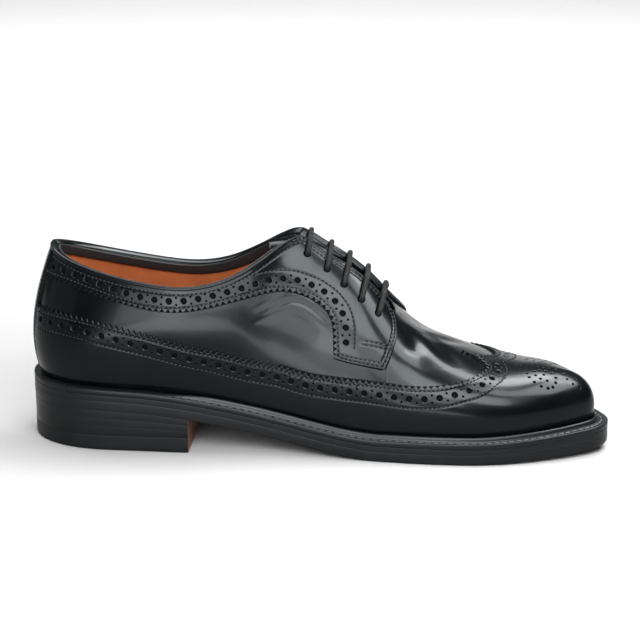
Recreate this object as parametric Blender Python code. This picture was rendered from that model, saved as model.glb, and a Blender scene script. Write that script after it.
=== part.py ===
# Left derby shoe, long-wing brogue: sole, welt, heel, hollow upper and its overlays.
# Sizes are millimetres. x runs from the back of the heel to the toe, y to the outer
# side of the foot, z up from the floor. The finished objects are in metres, with the
# origin on the floor under the middle of the shoe.

import bpy
import bmesh
import numpy as np

MM = 0.001
INNER = -1
OUTER = 1
UP = np.array([0.0, 0.0, 1.0])

# Sole layers, from the floor up
OUTSOLE_THICK = 5.2
MIDSOLE_THICK = 2.8
WELT_THICK = 3.0
GAP = 0.3
SOLE_THICK = OUTSOLE_THICK + MIDSOLE_THICK + WELT_THICK + 2 * GAP
SOLE_BEVEL = 1.0
MIDSOLE_INSET = 0.2
BEAD_HEIGHT = 2.4
BEAD_START = 0.25
BEAD_FULL = 0.36
WELT_UNDER = 3.5
# Section of the bead: distance out from the upper, share of its height
BEAD_SECTION = [(3.9, 0.0), (3.5, 0.7), (2.8, 1.0), (2.1, 0.8), (1.6, 0.0)]

# Heel
BREAST_X = 87.5
TOP_PIECE_THICK = 8.4
HEEL_INSET = 0.6
HEEL_BEVEL = 1.2

# Upper and what lies on it
WALL = 2.2
OVERLAY_GAP = 0.45
OVERLAY_THICK = 1.2
THROAT_HALF = 6.0
THROAT_START = 0.46
THROAT_END = 0.618
TONGUE_ROOT = 0.630
OUTER_COLLAR_DROP = 2.5
OUTER_DROP_STATION = 0.27
OUTER_DROP_REACH = 0.20
STRIP_STATION = 0.033
OVERLAY_START = 0.036
EDGE_HEIGHT = 0.992

# Insole, tongue and laces
INSOLE_THICK = 3.0
INSOLE_CLEAR = 0.6
TONGUE_THICK = 2.0
TONGUE_CLEAR = 0.8
TONGUE_LENGTH = 30.0
TONGUE_SIDE_HEIGHT = 0.66
TONGUE_RISE = 0.45
TONGUE_CURL = 0.0105
# Free end of the tongue: share of its length, share of its width
TONGUE_END = [(0.2, 0.95), (0.4, 0.90), (0.6, 0.85), (0.8, 0.78), (0.93, 0.68), (1.0, 0.54)]
LACE_RADIUS = 1.4

# Sole edge, seen from above: x, y
INNER_EDGE = [
    (0, 0), (6.5, -18.5), (28, -32), (58, -35), (90, -35.6), (128, -34.2), (165, -38),
    (200, -41.8), (226, -43), (254, -40.5), (280, -32.5), (296, -25), (304.5, -18.5)]
TOE_TIP = (308, -9.5)
OUTER_EDGE = [
    (305, 1.5), (297, 16), (285, 31), (265, 46), (236, 56.5), (206, 59), (175, 54.5), (140, 44.5),
    (105, 37), (75, 35.2), (45, 34.6), (22, 29.8), (5.5, 16.5)]

# Underside of the sole before it is cut flat at the floor: x, height
UNDERSIDE = [
    (-20, 23.0), (0, 22.9), (45, 22.0), (85, 18.8), (120, 11.8), (152, 4.8), (178, 0.6),
    (196, -0.4), (216, -0.6), (236, -0.1), (262, 1.1), (288, 2.8), (312, 4.6)]

# Line down the middle of the upper: x, y
MIDDLE = [(0, 0), (150, 0.5), (200, 1), (240, -1.5), (270, -5), (300, -9)]

# How far the sole edge stands out from the upper: station, width
WELT_WIDTH = [(0, 5.5), (0.22, 5.8), (0.40, 7.6), (0.55, 8.0), (0.85, 8.2), (1.0, 8.6)]

# Ribs of the last. A station is the share of the way round the sole edge from heel to
# toe. Each rib is a curve from the welt up to the collar or to the ridge of the vamp.
# station, top x, half opening, top z, foot out, foot up, bulge, crown, drop
RIBS = [
    (0.000, 13.5, 0.0, 104.5, 8.2, 0.31, 9.0, 0.00, 0.34),
    (0.070, 20.0, 13.0, 101.0, 7.2, 0.31, 7.6, 0.00, 0.34),
    (0.150, 41.0, 23.5, 95.0, 6.2, 0.32, 7.5, 0.00, 0.34),
    (0.220, 64.0, 28.8, 91.0, 6.4, 0.34, 6.5, 0.00, 0.34),
    (0.290, 87.0, 30.0, 89.3, 6.5, 0.36, 5.5, 0.00, 0.34),
    (0.355, 107.0, 27.0, 93.2, 6.4, 0.38, 5.0, 0.10, 0.32),
    (0.420, 127.0, 18.5, 103.6, 6.0, 0.40, 2.5, 0.30, 0.26),
    (0.460, 143.0, 7.0, 111.5, 5.4, 0.42, 1.0, 0.45, 0.14),
    (0.510, 160.0, 0.0, 104.5, 5.4, 0.43, 0.0, 0.50, 0.04),
    (0.575, 181.0, 0.0, 86.6, 5.8, 0.47, 0.0, 0.60, 0.00),
    (0.640, 201.0, 0.0, 63.9, 6.2, 0.53, 0.0, 0.63, 0.00),
    (0.720, 225.0, 0.0, 50.4, 6.4, 0.60, 0.0, 0.65, 0.00),
    (0.810, 248.0, 0.0, 42.4, 6.4, 0.66, 0.0, 0.68, 0.00),
    (0.910, 268.5, 0.0, 41.7, 6.0, 0.68, 0.0, 0.63, 0.00),
    (1.000, 282.5, 0.0, 40.3, 5.2, 0.66, 0.0, 0.63, 0.00)]
RIDGE_ROW = 7
RIDGE_STATION = 0.51

# Upper edge of the long wing: station, height up the rib
WING_EDGE = [
    (0.03, 0.564), (0.09, 0.601), (0.15, 0.615), (0.20, 0.592), (0.25, 0.555),
    (0.30, 0.486), (0.35, 0.414), (0.40, 0.330), (0.44, 0.265), (0.48, 0.229),
    (0.52, 0.239), (0.57, 0.267), (0.62, 0.320), (0.66, 0.374), (0.70, 0.442),
    (0.726, 0.512), (0.752, 0.613), (0.768, 0.709), (0.778, 0.788), (0.782, 0.862)]
# The peak of the wing on the ridge: station, height of its side
WING_PEAK = [(0.738, 1.0), (0.757, 0.992), (0.770, 0.975), (0.779, 0.935), (0.782, 0.862)]
WING_BEND_ROWS = 6
WING_LIFT_HEEL = 0.8
WING_LIFT_WELT = 3.2

# Facing and collar band, as lines from its lower edge to its upper edge:
# lower station, lower height, upper station, upper height (1 is the open edge)
FACING = [
    (0.036, 0.779, 0.036, 1.0), (0.100, 0.819, 0.100, 1.0), (0.180, 0.796, 0.180, 1.0),
    (0.250, 0.774, 0.250, 1.0), (0.320, 0.790, 0.320, 1.0), (0.388, 0.774, 0.384, 1.0),
    (0.420, 0.719, 0.418, 1.0), (0.448, 0.631, 0.450, 1.0), (0.470, 0.578, 0.484, 1.0),
    (0.488, 0.558, 0.515, 1.0), (0.504, 0.544, 0.545, 1.0), (0.516, 0.525, 0.573, 1.0),
    (0.524, 0.497, 0.595, 0.951), (0.529, 0.447, 0.610, 0.889), (0.531, 0.384, 0.620, 0.832),
    (0.533, 0.326, 0.626, 0.737), (0.563, 0.334, 0.626, 0.627), (0.590, 0.355, 0.621, 0.494),
    (0.614, 0.385, 0.614, 0.385)]

# Lace bars: station of the eyelets, height of the eyelets up the rib
LACE_BARS = [(0.477, 0.821), (0.511, 0.756), (0.540, 0.719), (0.568, 0.698), (0.595, 0.703)]

BLACK_LEATHER = (0.012, 0.012, 0.013)
EDGE_BLACK = (0.020, 0.020, 0.021)
TAN_LEATHER = (0.36, 0.15, 0.055)
LACE_BLACK = (0.010, 0.010, 0.010)


def column(table, index):
    return np.array([row[index] for row in table], float)


def spline(xs, ys, x):
    """Natural cubic spline through the points (xs, ys), read at x."""
    xs = np.asarray(xs, float)
    ys = np.asarray(ys, float)
    x = np.asarray(x, float)
    step = np.diff(xs)
    wide = step if ys.ndim == 1 else step[:, None]
    slope = np.diff(ys, axis=0) / wide
    matrix = np.eye(len(xs))
    right = np.zeros(ys.shape)
    for i in range(1, len(xs) - 1):
        matrix[i, i - 1:i + 2] = step[i - 1], 2 * (step[i - 1] + step[i]), step[i]
        right[i] = 6 * (slope[i] - slope[i - 1])
    bend = np.linalg.solve(matrix, right)
    k = np.clip(np.searchsorted(xs, x) - 1, 0, len(xs) - 2)
    width = step[k]
    a = (xs[k + 1] - x) / width
    b = (x - xs[k]) / width
    if ys.ndim > 1:
        width, a, b = width[..., None], a[..., None], b[..., None]
    curve = (a ** 3 - a) * bend[k] + (b ** 3 - b) * bend[k + 1]
    return a * ys[k] + b * ys[k + 1] + curve * width ** 2 / 6


def table_at(table, x):
    return spline(column(table, 0), column(table, 1), x)


def rib_column(index, station, parity=1):
    """A column of RIBS, carried smoothly past heel and toe to the other side."""
    s = column(RIBS, 0)
    v = column(RIBS, index)
    s_all = np.concatenate([-s[3:0:-1], s, 2 - s[-2:-5:-1]])
    v_all = np.concatenate([parity * v[3:0:-1], v, v[-2:-5:-1]])
    return spline(s_all, v_all, station)


def closed_outline():
    """The sole edge as one smooth closed curve through its points."""
    pts = np.array(INNER_EDGE + [TOE_TIP] + OUTER_EDGE, float)
    lap = 6
    ring = np.vstack([pts[-lap:], pts, pts[:lap + 1]])
    run = np.concatenate([[0], np.cumsum(np.linalg.norm(np.diff(ring, axis=0), axis=1))])
    return spline(run, ring, np.linspace(run[lap], run[lap + len(pts)], 2001))


OUTLINE = closed_outline()
TIP_INDEX = int(np.argmax(OUTLINE[:, 0]))
SHIFT = np.append((OUTLINE.min(axis=0) + OUTLINE.max(axis=0)) / 2, 0.0)


def side_edge(side):
    points = OUTLINE[:TIP_INDEX + 1] if side == INNER else OUTLINE[TIP_INDEX:][::-1]
    run = np.concatenate([[0], np.cumsum(np.linalg.norm(np.diff(points, axis=0), axis=1))])
    along = np.gradient(points, run, axis=0)
    along[0] = (0, side)
    along[-1] = (0, -side)
    return points, run / run[-1], along


EDGES = {side: side_edge(side) for side in (INNER, OUTER)}


def edge(side, station):
    """Point of the sole edge and its outward direction, both in plan."""
    points, run, along = EDGES[side]
    p = np.stack([np.interp(station, run, points[:, i]) for i in (0, 1)], -1)
    t = np.stack([np.interp(station, run, along[:, i]) for i in (0, 1)], -1)
    t /= np.linalg.norm(t, axis=-1, keepdims=True)
    return p, np.stack([t[..., 1], -t[..., 0]], -1) * -side


def edge_station(side, x):
    points, run, _ = EDGES[side]
    widest = len(points) - 1
    return float(np.interp(x, points[:widest, 0], run[:widest]))


def welt_width(station):
    return table_at(WELT_WIDTH, station)


def underside(x):
    return np.maximum(table_at(UNDERSIDE, x), 0.0)


def welt_top(x):
    return underside(x) + SOLE_THICK


def middle(x):
    return table_at(MIDDLE, x)


def ridge_slope(x):
    """Fall of the ridge per millimetre of length."""
    xs = column(RIBS[RIDGE_ROW:], 1)
    zs = column(RIBS[RIDGE_ROW:], 3)
    x = np.clip(x, xs[0], xs[-1])
    return (spline(xs, zs, x + 0.1) - spline(xs, zs, x - 0.1)) / 0.2


def rib(side, station, height):
    """Outside of the upper: height runs from 0 at the welt to 1 at the top of the rib."""
    s, t = np.broadcast_arrays(np.asarray(station, float), np.asarray(height, float))
    p, out = edge(side, s)
    foot = p - out * welt_width(s)[..., None]
    foot = np.concatenate([foot, (welt_top(foot[..., 0]) + GAP)[..., None]], -1)
    top_x, top_z, foot_out, foot_up = [rib_column(i, s) for i in (1, 3, 4, 5)]
    bulge, crown, drop = [rib_column(i, s) for i in (6, 7, 8)]
    half = np.where(s < RIDGE_STATION, np.maximum(rib_column(2, s, -1), 0), 0)
    if side == OUTER:
        reach = np.clip((s - OUTER_DROP_STATION) / OUTER_DROP_REACH, -1, 1)
        top_z = top_z - OUTER_COLLAR_DROP * (1 + np.cos(np.pi * reach)) / 2
    top = np.stack([top_x, middle(top_x) + side * half, top_z], -1)
    rise = top[..., 2] - foot[..., 2]
    span = np.linalg.norm(top[..., :2] - foot[..., :2], axis=-1)
    out = np.concatenate([out, np.zeros(out.shape[:-1] + (1,))], -1)
    lean = out + UP * (out[..., 0] * ridge_slope(top_x))[..., None]
    low = foot + out * foot_out[..., None] + UP * (foot_up * rise)[..., None]
    high = top + out * bulge[..., None] + lean * (crown * span)[..., None]
    high = high - UP * (drop * rise)[..., None]
    k = t[..., None]
    return (1 - k) ** 3 * foot + 3 * (1 - k) ** 2 * k * low + 3 * (1 - k) * k ** 2 * high + k ** 3 * top


def outward(side, station, height):
    """Unit normal of the upper, by small steps along and up it."""
    s = np.clip(station, 0.003, 0.997)
    t = np.clip(height, 0.003, 0.997)
    along = rib(side, s + 0.002, t) - rib(side, s - 0.002, t)
    up = rib(side, s, t + 0.002) - rib(side, s, t - 0.002)
    n = np.cross(along, up) * -side
    return n / np.linalg.norm(n, axis=-1, keepdims=True)


HEIGHTS = np.linspace(0, 1, 201)


def open_top(side, station):
    """Height up the rib where the upper ends: the collar, the facing edge or the ridge."""
    tops = []
    for s in np.atleast_1d(station):
        if s < THROAT_START or s > THROAT_END:
            tops.append(1.0)
            continue
        p = rib(side, s, HEIGHTS)
        away = side * (p[:, 1] - middle(p[:, 0]))
        upper_half = slice(len(HEIGHTS) // 2, None)
        cut = np.interp(-THROAT_HALF, -away[upper_half], HEIGHTS[upper_half])
        tops.append(cut)
    return np.array(tops)


def height_at(side, station, lift):
    """Height up each rib that lies a given lift above the welt."""
    found = []
    for s, rise in zip(station, lift):
        p = rib(side, s, HEIGHTS[:120])
        found.append(np.interp(rise, p[:, 2] - p[0, 2], HEIGHTS[:120]))
    return np.array(found)


def bead(station):
    share = np.clip((station - BEAD_START) / (BEAD_FULL - BEAD_START), 0, 1)
    return share * share * (3 - 2 * share)


def add_object(name, mesh, colour, roughness):
    material = bpy.data.materials.new(name)
    material.use_nodes = True
    shader = material.node_tree.nodes["Principled BSDF"]
    shader.inputs["Base Color"].default_value = (*colour, 1.0)
    shader.inputs["Roughness"].default_value = roughness
    shader.inputs["Metallic"].default_value = 0.0
    mesh.materials.append(material)
    mesh.shade_smooth()
    mesh.set_sharp_from_angle(angle=0.7)
    obj = bpy.data.objects.new(name, mesh)
    bpy.context.collection.objects.link(obj)
    return obj


def mesh_of(name, patches, lift=0.0):
    """One mesh from grids of points (rows, columns, xyz), joined where they meet.

    Each patch is (points, flip). lift moves the joined sheet along its normals."""
    bm = bmesh.new()
    for points, flip in patches:
        rows, cols = points.shape[:2]
        verts = [[bm.verts.new((p - SHIFT) * MM) for p in row] for row in points]
        for i in range(rows - 1):
            for j in range(cols - 1):
                quad = [verts[i][j], verts[i + 1][j], verts[i + 1][j + 1], verts[i][j + 1]]
                bm.faces.new(quad[::-1] if flip else quad)
    bmesh.ops.remove_doubles(bm, verts=bm.verts, dist=2e-6)
    bmesh.ops.dissolve_degenerate(bm, edges=bm.edges, dist=1e-6)
    bm.normal_update()
    moves = [(v, v.normal * lift * MM) for v in bm.verts]
    for vert, move in moves:
        vert.co += move
    bmesh.ops.triangulate(bm, faces=bm.faces)
    mesh = bpy.data.meshes.new(name)
    bm.to_mesh(mesh)
    bm.free()
    return mesh


def add_sheet(name, patches, lift, thickness, inwards, colour, roughness):
    obj = add_object(name, mesh_of(name, patches, lift), colour, roughness)
    solid = obj.modifiers.new("wall", "SOLIDIFY")
    solid.thickness = thickness * MM
    solid.offset = -1.0 if inwards else 1.0
    solid.use_even_offset = True
    solid.use_quality_normals = True
    return obj


def loft(name, rings, stations, across, colour, roughness):
    """A slab bounded by the sole edge, from its top ring down to its bottom ring.

    Each ring is (inset from the sole edge as a function of station, height as a
    function of x). stations gives the stations of each side."""
    grids = []
    w = np.linspace(0, 1, across + 1)[None, :, None]
    for inset, level in rings:
        flat = []
        for side in (INNER, OUTER):
            p, out = edge(side, stations[side])
            flat.append(p - out * inset(stations[side])[:, None])
        plan = flat[0][:, None] * (1 - w) + flat[1][:, None] * w
        grids.append(np.concatenate([plan, level(plan[..., 0])[..., None]], -1))
    loops = []
    for g in grids:
        loops.append(np.vstack([g[:, 0], g[-1, 1:], g[-2::-1, -1], g[0, -2::-1]]))
    patches = [(grids[0], False), (grids[-1], True)]
    patches += [(np.stack([a, b], 1), False) for a, b in zip(loops[1:], loops[:-1])]
    return add_object(name, mesh_of(name, patches), colour, roughness)


def fixed(value):
    return lambda station: np.full(np.shape(station), float(value))


def above_floor(rise):
    return lambda x: underside(x) + rise


def level(z):
    return lambda x: np.full(np.shape(x), float(z))


ROUND = np.concatenate([
    np.linspace(0, 0.12, 7), np.linspace(0.12, 0.78, 20)[1:], np.linspace(0.78, 1, 11)[1:]])
SOLE_STATIONS = {side: ROUND for side in (INNER, OUTER)}


def build_sole():
    top = OUTSOLE_THICK
    rings = [
        (fixed(0), above_floor(top)),
        (fixed(0), above_floor(SOLE_BEVEL)),
        (fixed(SOLE_BEVEL), above_floor(0))]
    loft("outsole", rings, SOLE_STATIONS, 4, EDGE_BLACK, 0.42)
    low = top + GAP
    rings = [
        (fixed(MIDSOLE_INSET), above_floor(low + MIDSOLE_THICK)),
        (fixed(MIDSOLE_INSET), above_floor(low))]
    loft("midsole", rings, SOLE_STATIONS, 4, EDGE_BLACK, 0.42)


def build_heel():
    ends = {side: edge_station(side, BREAST_X) for side in (INNER, OUTER)}
    share = np.array([0, 0.1, 0.2, 0.32, 0.45, 0.6, 0.8, 1.0])
    stations = {side: share * ends[side] for side in ends}
    rings = [
        (fixed(HEEL_INSET), above_floor(-GAP)),
        (fixed(HEEL_INSET), level(TOP_PIECE_THICK + GAP))]
    loft("heel_stack", rings, stations, 4, EDGE_BLACK, 0.40)
    rings = [
        (fixed(HEEL_INSET), level(TOP_PIECE_THICK)),
        (fixed(HEEL_INSET), level(HEEL_BEVEL)),
        (fixed(HEEL_INSET + HEEL_BEVEL), level(0))]
    loft("heel_top_piece", rings, stations, 4, EDGE_BLACK, 0.45)


def build_welt():
    """Flat welt with the raised bead that seals the seam of the upper."""
    low = OUTSOLE_THICK + MIDSOLE_THICK + 2 * GAP
    top = low + WELT_THICK
    patches = []
    for side in (INNER, OUTER):
        p, out = edge(side, ROUND)
        width = welt_width(ROUND)
        rise = BEAD_HEIGHT * bead(ROUND)
        none = np.zeros_like(width)
        # inset from the sole edge, height over the underside of the sole
        section = [(none, low + none), (none, top + none)]
        section += [(width - off, top + share * rise) for off, share in BEAD_SECTION]
        section += [(width + WELT_UNDER, top + none), (width + WELT_UNDER, low + none)]
        section.append(section[0])
        lines = []
        for inset, height in section:
            plan = p - out * inset[:, None]
            z = underside(plan[:, 0]) + height
            lines.append(np.concatenate([plan, z[:, None]], -1))
        patches.append((np.stack(lines, 1), side == OUTER))
    add_object("welt", mesh_of("welt", patches), EDGE_BLACK, 0.40)


def build_insole():
    floor = OUTSOLE_THICK + MIDSOLE_THICK + GAP + INSOLE_CLEAR
    seat = SOLE_THICK + INSOLE_CLEAR
    wide = WALL + INSOLE_CLEAR
    narrow = WELT_UNDER + INSOLE_CLEAR

    def over_welt(station):
        return welt_width(station) + wide

    def in_welt(station):
        return welt_width(station) + narrow

    rings = [
        (over_welt, above_floor(seat + INSOLE_THICK)),
        (over_welt, above_floor(seat)),
        (in_welt, above_floor(seat)),
        (in_welt, above_floor(floor))]
    stations = {side: ROUND[::2] for side in (INNER, OUTER)}
    loft("insole", rings, stations, 4, TAN_LEATHER, 0.55)


def build_upper():
    throat = [THROAT_START, THROAT_END - 0.004, TONGUE_ROOT]
    stations = np.unique(np.concatenate([ROUND, throat]))
    share = np.linspace(0, 1, 10)
    patches = []
    for side in (INNER, OUTER):
        top = open_top(side, stations)
        grid = rib(side, stations[:, None], top[:, None] * share[None, :])
        patches.append((grid, side == OUTER))
    add_sheet("upper", patches, 0.0, WALL, True, BLACK_LEATHER, 0.22)


def wing_patches(side):
    lean = column(WING_PEAK, 0)[-1]
    bend = column(WING_EDGE, 0)[-WING_BEND_ROWS:]
    straight = ROUND[(ROUND > OVERLAY_START) & (ROUND < bend[0])]
    rear = np.concatenate([[OVERLAY_START], straight, bend])
    front = np.concatenate([[lean], ROUND[ROUND > lean + 0.01]])
    peak = column(WING_PEAK, 0)
    low_share = np.linspace(0, 1, 6)
    peak_share = np.linspace(0, 1, 4)
    lift = WING_LIFT_HEEL + (WING_LIFT_WELT - WING_LIFT_HEEL) * bead(rear)
    foot = height_at(side, rear, lift)
    edge_height = table_at(WING_EDGE, rear)
    low_heights = foot[:, None] + (edge_height - foot)[:, None] * low_share
    peak_heights = column(WING_PEAK, 1)[:, None] + (1 - column(WING_PEAK, 1))[:, None] * peak_share
    joint = np.concatenate([low_heights[-1], peak_heights[-1, 1:]])
    front_foot = height_at(side, front, np.full(len(front), WING_LIFT_WELT))
    ease = np.linspace(0, 1, len(front))[:, None]
    even = np.linspace(0, 1, len(joint))
    share = (joint - joint[0]) / (1 - joint[0])
    share = share * (1 - ease) + even * ease
    front_heights = front_foot[:, None] + (1 - front_foot)[:, None] * share
    front_heights[0] = joint
    flip = side == OUTER
    return [
        (rib(side, rear[:, None], low_heights), flip),
        (rib(side, peak[:, None], peak_heights), flip),
        (rib(side, front[:, None], front_heights), flip)]


def build_wing():
    patches = wing_patches(INNER) + wing_patches(OUTER)
    add_sheet("wing", patches, OVERLAY_GAP, OVERLAY_THICK, False, BLACK_LEATHER, 0.22)


def build_facings():
    lines = np.array(FACING)
    row = np.arange(len(lines), dtype=float)
    low_s, low_t, high_s, high_t = spline(row, lines, np.linspace(0, row[-1], 34)).T
    v = np.linspace(0, 1, 7)
    for side, name in ((INNER, "facing_medial"), (OUTER, "facing_lateral")):
        top_t = np.minimum(high_t, open_top(side, high_s)) * EDGE_HEIGHT
        s = low_s[:, None] + (high_s - low_s)[:, None] * v
        t = low_t[:, None] + (top_t - low_t)[:, None] * v
        t[-1] = low_t[-1]
        patches = [(rib(side, s, t), side == OUTER)]
        add_sheet(name, patches, OVERLAY_GAP, OVERLAY_THICK, False, BLACK_LEATHER, 0.20)


def build_heel_strip():
    s = np.linspace(0, STRIP_STATION, 4)
    patches = []
    for side in (INNER, OUTER):
        foot = height_at(side, s, np.full(len(s), WING_LIFT_HEEL))
        t = foot[:, None] + (EDGE_HEIGHT - foot)[:, None] * np.linspace(0, 1, 9)
        patches.append((rib(side, s[:, None], t), side == OUTER))
    add_sheet("heel_strip", patches, OVERLAY_GAP, OVERLAY_THICK, False, BLACK_LEATHER, 0.22)


def build_tongue():
    """Follows the inside of the facings, then runs free to its rounded end."""
    s = np.linspace(TONGUE_ROOT, RIDGE_STATION, 7)
    share = np.linspace(0, 1, 5)
    depth = WALL + TONGUE_CLEAR
    patches = []
    for side in (INNER, OUTER):
        t = TONGUE_SIDE_HEIGHT + (1 - TONGUE_SIDE_HEIGHT) * share
        grid = rib(side, s[:, None], t) - outward(side, s[:, None], t) * depth
        grid[:, -1, 1] = middle(grid[:, -1, 0])
        root = grid[-1]
        rows = []
        for share_back, slim in TONGUE_END:
            back = share_back * TONGUE_LENGTH
            row = root + np.array([-back, 0, TONGUE_RISE * back - TONGUE_CURL * back ** 2])
            row[:, 1] = middle(root[-1, 0]) + (root[:, 1] - middle(root[-1, 0])) * slim
            row[:, 2] = row[-1, 2] + (row[:, 2] - row[-1, 2]) * slim
            rows.append(row)
        grid = np.concatenate([grid, np.array(rows)])[::-1]
        patches.append((grid, side == OUTER))
    add_sheet("tongue", patches, 0.0, TONGUE_THICK, True, BLACK_LEATHER, 0.35)


def build_laces():
    """Straight bars from eyelet to eyelet, lying on the facings and over the throat."""
    off = OVERLAY_GAP + OVERLAY_THICK + GAP + LACE_RADIUS
    for number, (s, eyelet) in enumerate(LACE_BARS, 1):
        halves = {}
        for side in (INNER, OUTER):
            t = np.linspace(eyelet, open_top(side, s)[0], 4)
            halves[side] = rib(side, s, t) + outward(side, np.full(4, s), t) * off
        route = np.vstack([halves[INNER], halves[OUTER][::-1]])
        run = np.concatenate([[0], np.cumsum(np.linalg.norm(np.diff(route, axis=0), axis=1))])
        points = spline(run, route, np.linspace(0, run[-1], 13))
        curve = bpy.data.curves.new("lace_bar_%d" % number, "CURVE")
        curve.dimensions = "3D"
        curve.bevel_depth = LACE_RADIUS * MM
        curve.bevel_resolution = 1
        curve.use_fill_caps = True
        line = curve.splines.new("POLY")
        line.points.add(len(points) - 1)
        for node, p in zip(line.points, (points - SHIFT) * MM):
            node.co = (*p, 1.0)
        add_curve(curve)


def add_curve(curve):
    material = bpy.data.materials.new(curve.name)
    material.use_nodes = True
    shader = material.node_tree.nodes["Principled BSDF"]
    shader.inputs["Base Color"].default_value = (*LACE_BLACK, 1.0)
    shader.inputs["Roughness"].default_value = 0.6
    curve.materials.append(material)
    obj = bpy.data.objects.new(curve.name, curve)
    bpy.context.collection.objects.link(obj)


def main():
    for obj in list(bpy.data.objects):
        bpy.data.objects.remove(obj)
    build_sole()
    build_heel()
    build_welt()
    build_insole()
    build_upper()
    build_wing()
    build_facings()
    build_heel_strip()
    build_tongue()
    build_laces()


main()
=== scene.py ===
import bpy
import numpy as np
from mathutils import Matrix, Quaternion, Vector
from mathutils.geometry import delaunay_2d_cdt


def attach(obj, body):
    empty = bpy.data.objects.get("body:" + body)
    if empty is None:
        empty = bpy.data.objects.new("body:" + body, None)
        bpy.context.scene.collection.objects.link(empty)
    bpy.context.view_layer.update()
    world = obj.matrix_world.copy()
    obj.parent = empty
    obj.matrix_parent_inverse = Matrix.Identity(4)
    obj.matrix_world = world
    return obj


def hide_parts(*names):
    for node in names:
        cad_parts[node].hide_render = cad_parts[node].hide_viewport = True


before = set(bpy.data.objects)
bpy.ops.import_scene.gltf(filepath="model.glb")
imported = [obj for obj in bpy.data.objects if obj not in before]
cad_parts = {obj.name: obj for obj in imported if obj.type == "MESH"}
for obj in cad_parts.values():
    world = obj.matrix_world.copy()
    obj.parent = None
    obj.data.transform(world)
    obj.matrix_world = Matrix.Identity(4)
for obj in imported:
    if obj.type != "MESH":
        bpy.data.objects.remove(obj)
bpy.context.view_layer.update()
print("frame loaded, nodes:", len(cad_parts))

# Left derby shoe, long wing. Sizes in mm: x heel to toe, y to the outer side, z up.
mm = 0.001
inner, outer = -1, 1
up = np.array([0.0, 0.0, 1.0])

# the last: sole edge, underside, middle line and ribs of the solids, a little fuller at the side of
# the forefoot and set back from the welt at the toe
lastShape = dict(
    innerEdge=[(0, 0), (6.5, -18.5), (28, -32), (58, -35), (90, -35.6), (128, -34.2), (165, -38),
               (200, -41.8), (226, -43), (254, -40.5), (280, -32.5), (296, -25), (304.5, -18.5)],
    toeTip=(308, -9.5),
    outerEdge=[(305, 1.5), (297, 16), (285, 31), (265, 46), (236, 56.5), (206, 59), (175, 54.5),
               (140, 44.5), (105, 37), (75, 35.2), (45, 34.6), (22, 29.8), (5.5, 16.5)],
    underside=[(-20, 23.0), (0, 22.9), (45, 22.0), (85, 18.8), (120, 11.8), (152, 4.8), (178, 0.6),
               (196, -0.4), (216, -0.6), (236, -0.1), (262, 1.1), (288, 2.8), (312, 4.6)],
    middle=[(0, 0), (150, 0.5), (200, 1), (240, -1.5), (270, -5), (300, -9)],
    weltWidth=[(0, 5.5), (0.22, 5.8), (0.40, 7.6), (0.55, 8.0), (0.85, 8.4), (1.0, 10.2)],
    # station, top x, half opening, top z, foot out, foot up, bulge, crown, drop
    ribs=[(0.000, 13.5, 0.0, 104.5, 8.2, 0.31, 9.0, 0.00, 0.34),
          (0.070, 20.0, 13.0, 101.0, 7.2, 0.31, 7.6, 0.00, 0.34),
          (0.150, 41.0, 23.5, 95.0, 6.2, 0.32, 7.5, 0.00, 0.34),
          (0.220, 64.0, 28.8, 91.0, 6.4, 0.34, 6.5, 0.00, 0.34),
          (0.290, 87.0, 30.0, 89.3, 6.5, 0.36, 5.5, 0.00, 0.34),
          (0.355, 107.0, 27.0, 93.2, 6.4, 0.38, 5.0, 0.10, 0.32),
          (0.420, 127.0, 18.5, 103.6, 6.0, 0.40, 2.5, 0.30, 0.26),
          (0.460, 143.0, 7.0, 111.5, 5.4, 0.42, 1.0, 0.45, 0.14),
          (0.510, 160.0, 0.0, 104.5, 5.4, 0.43, 0.0, 0.50, 0.04),
          (0.575, 181.0, 0.0, 86.6, 6.2, 0.50, 0.0, 0.60, 0.00),
          (0.640, 201.0, 0.0, 63.9, 7.0, 0.59, 0.0, 0.63, 0.00),
          (0.720, 225.0, 0.0, 50.4, 7.4, 0.67, 0.0, 0.66, 0.00),
          (0.810, 248.0, 0.0, 42.4, 7.2, 0.73, 0.0, 0.70, 0.00),
          (0.910, 268.5, 0.0, 41.7, 6.2, 0.73, 0.0, 0.66, 0.00),
          (1.000, 282.5, 0.0, 40.3, 4.4, 0.70, 0.0, 0.63, 0.00)],
    ridgeRow=7, ridgeStation=0.51, throatHalf=6.0, throatStart=0.46, throatEnd=0.618,
    collarDrop=2.5, dropStation=0.27, dropReach=0.20)

soleLayers = dict(outsole=5.2, midsole=2.8, welt=3.0, gap=0.3)
soleThick = soleLayers["outsole"] + soleLayers["midsole"] + soleLayers["welt"] + 2 * soleLayers["gap"]


# natural cubic spline through (xs, ys), read at x
def spline(xs, ys, x):
    xs, ys, x = np.asarray(xs, float), np.asarray(ys, float), np.asarray(x, float)
    step = np.diff(xs)
    wide = step if ys.ndim == 1 else step[:, None]
    slope = np.diff(ys, axis=0) / wide
    matrix, right = np.eye(len(xs)), np.zeros(ys.shape)
    row = np.arange(1, len(xs) - 1)
    matrix[row, row - 1], matrix[row, row + 1] = step[:-1], step[1:]
    matrix[row, row] = 2 * (step[:-1] + step[1:])
    right[1:-1] = 6 * np.diff(slope, axis=0)
    bend = np.linalg.solve(matrix, right)
    k = np.clip(np.searchsorted(xs, x) - 1, 0, len(xs) - 2)
    width = step[k]
    a, b = (xs[k + 1] - x) / width, (x - xs[k]) / width
    if ys.ndim > 1:
        width, a, b = width[..., None], a[..., None], b[..., None]
    curve = (a ** 3 - a) * bend[k] + (b ** 3 - b) * bend[k + 1]
    return a * ys[k] + b * ys[k + 1] + curve * width ** 2 / 6


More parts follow.
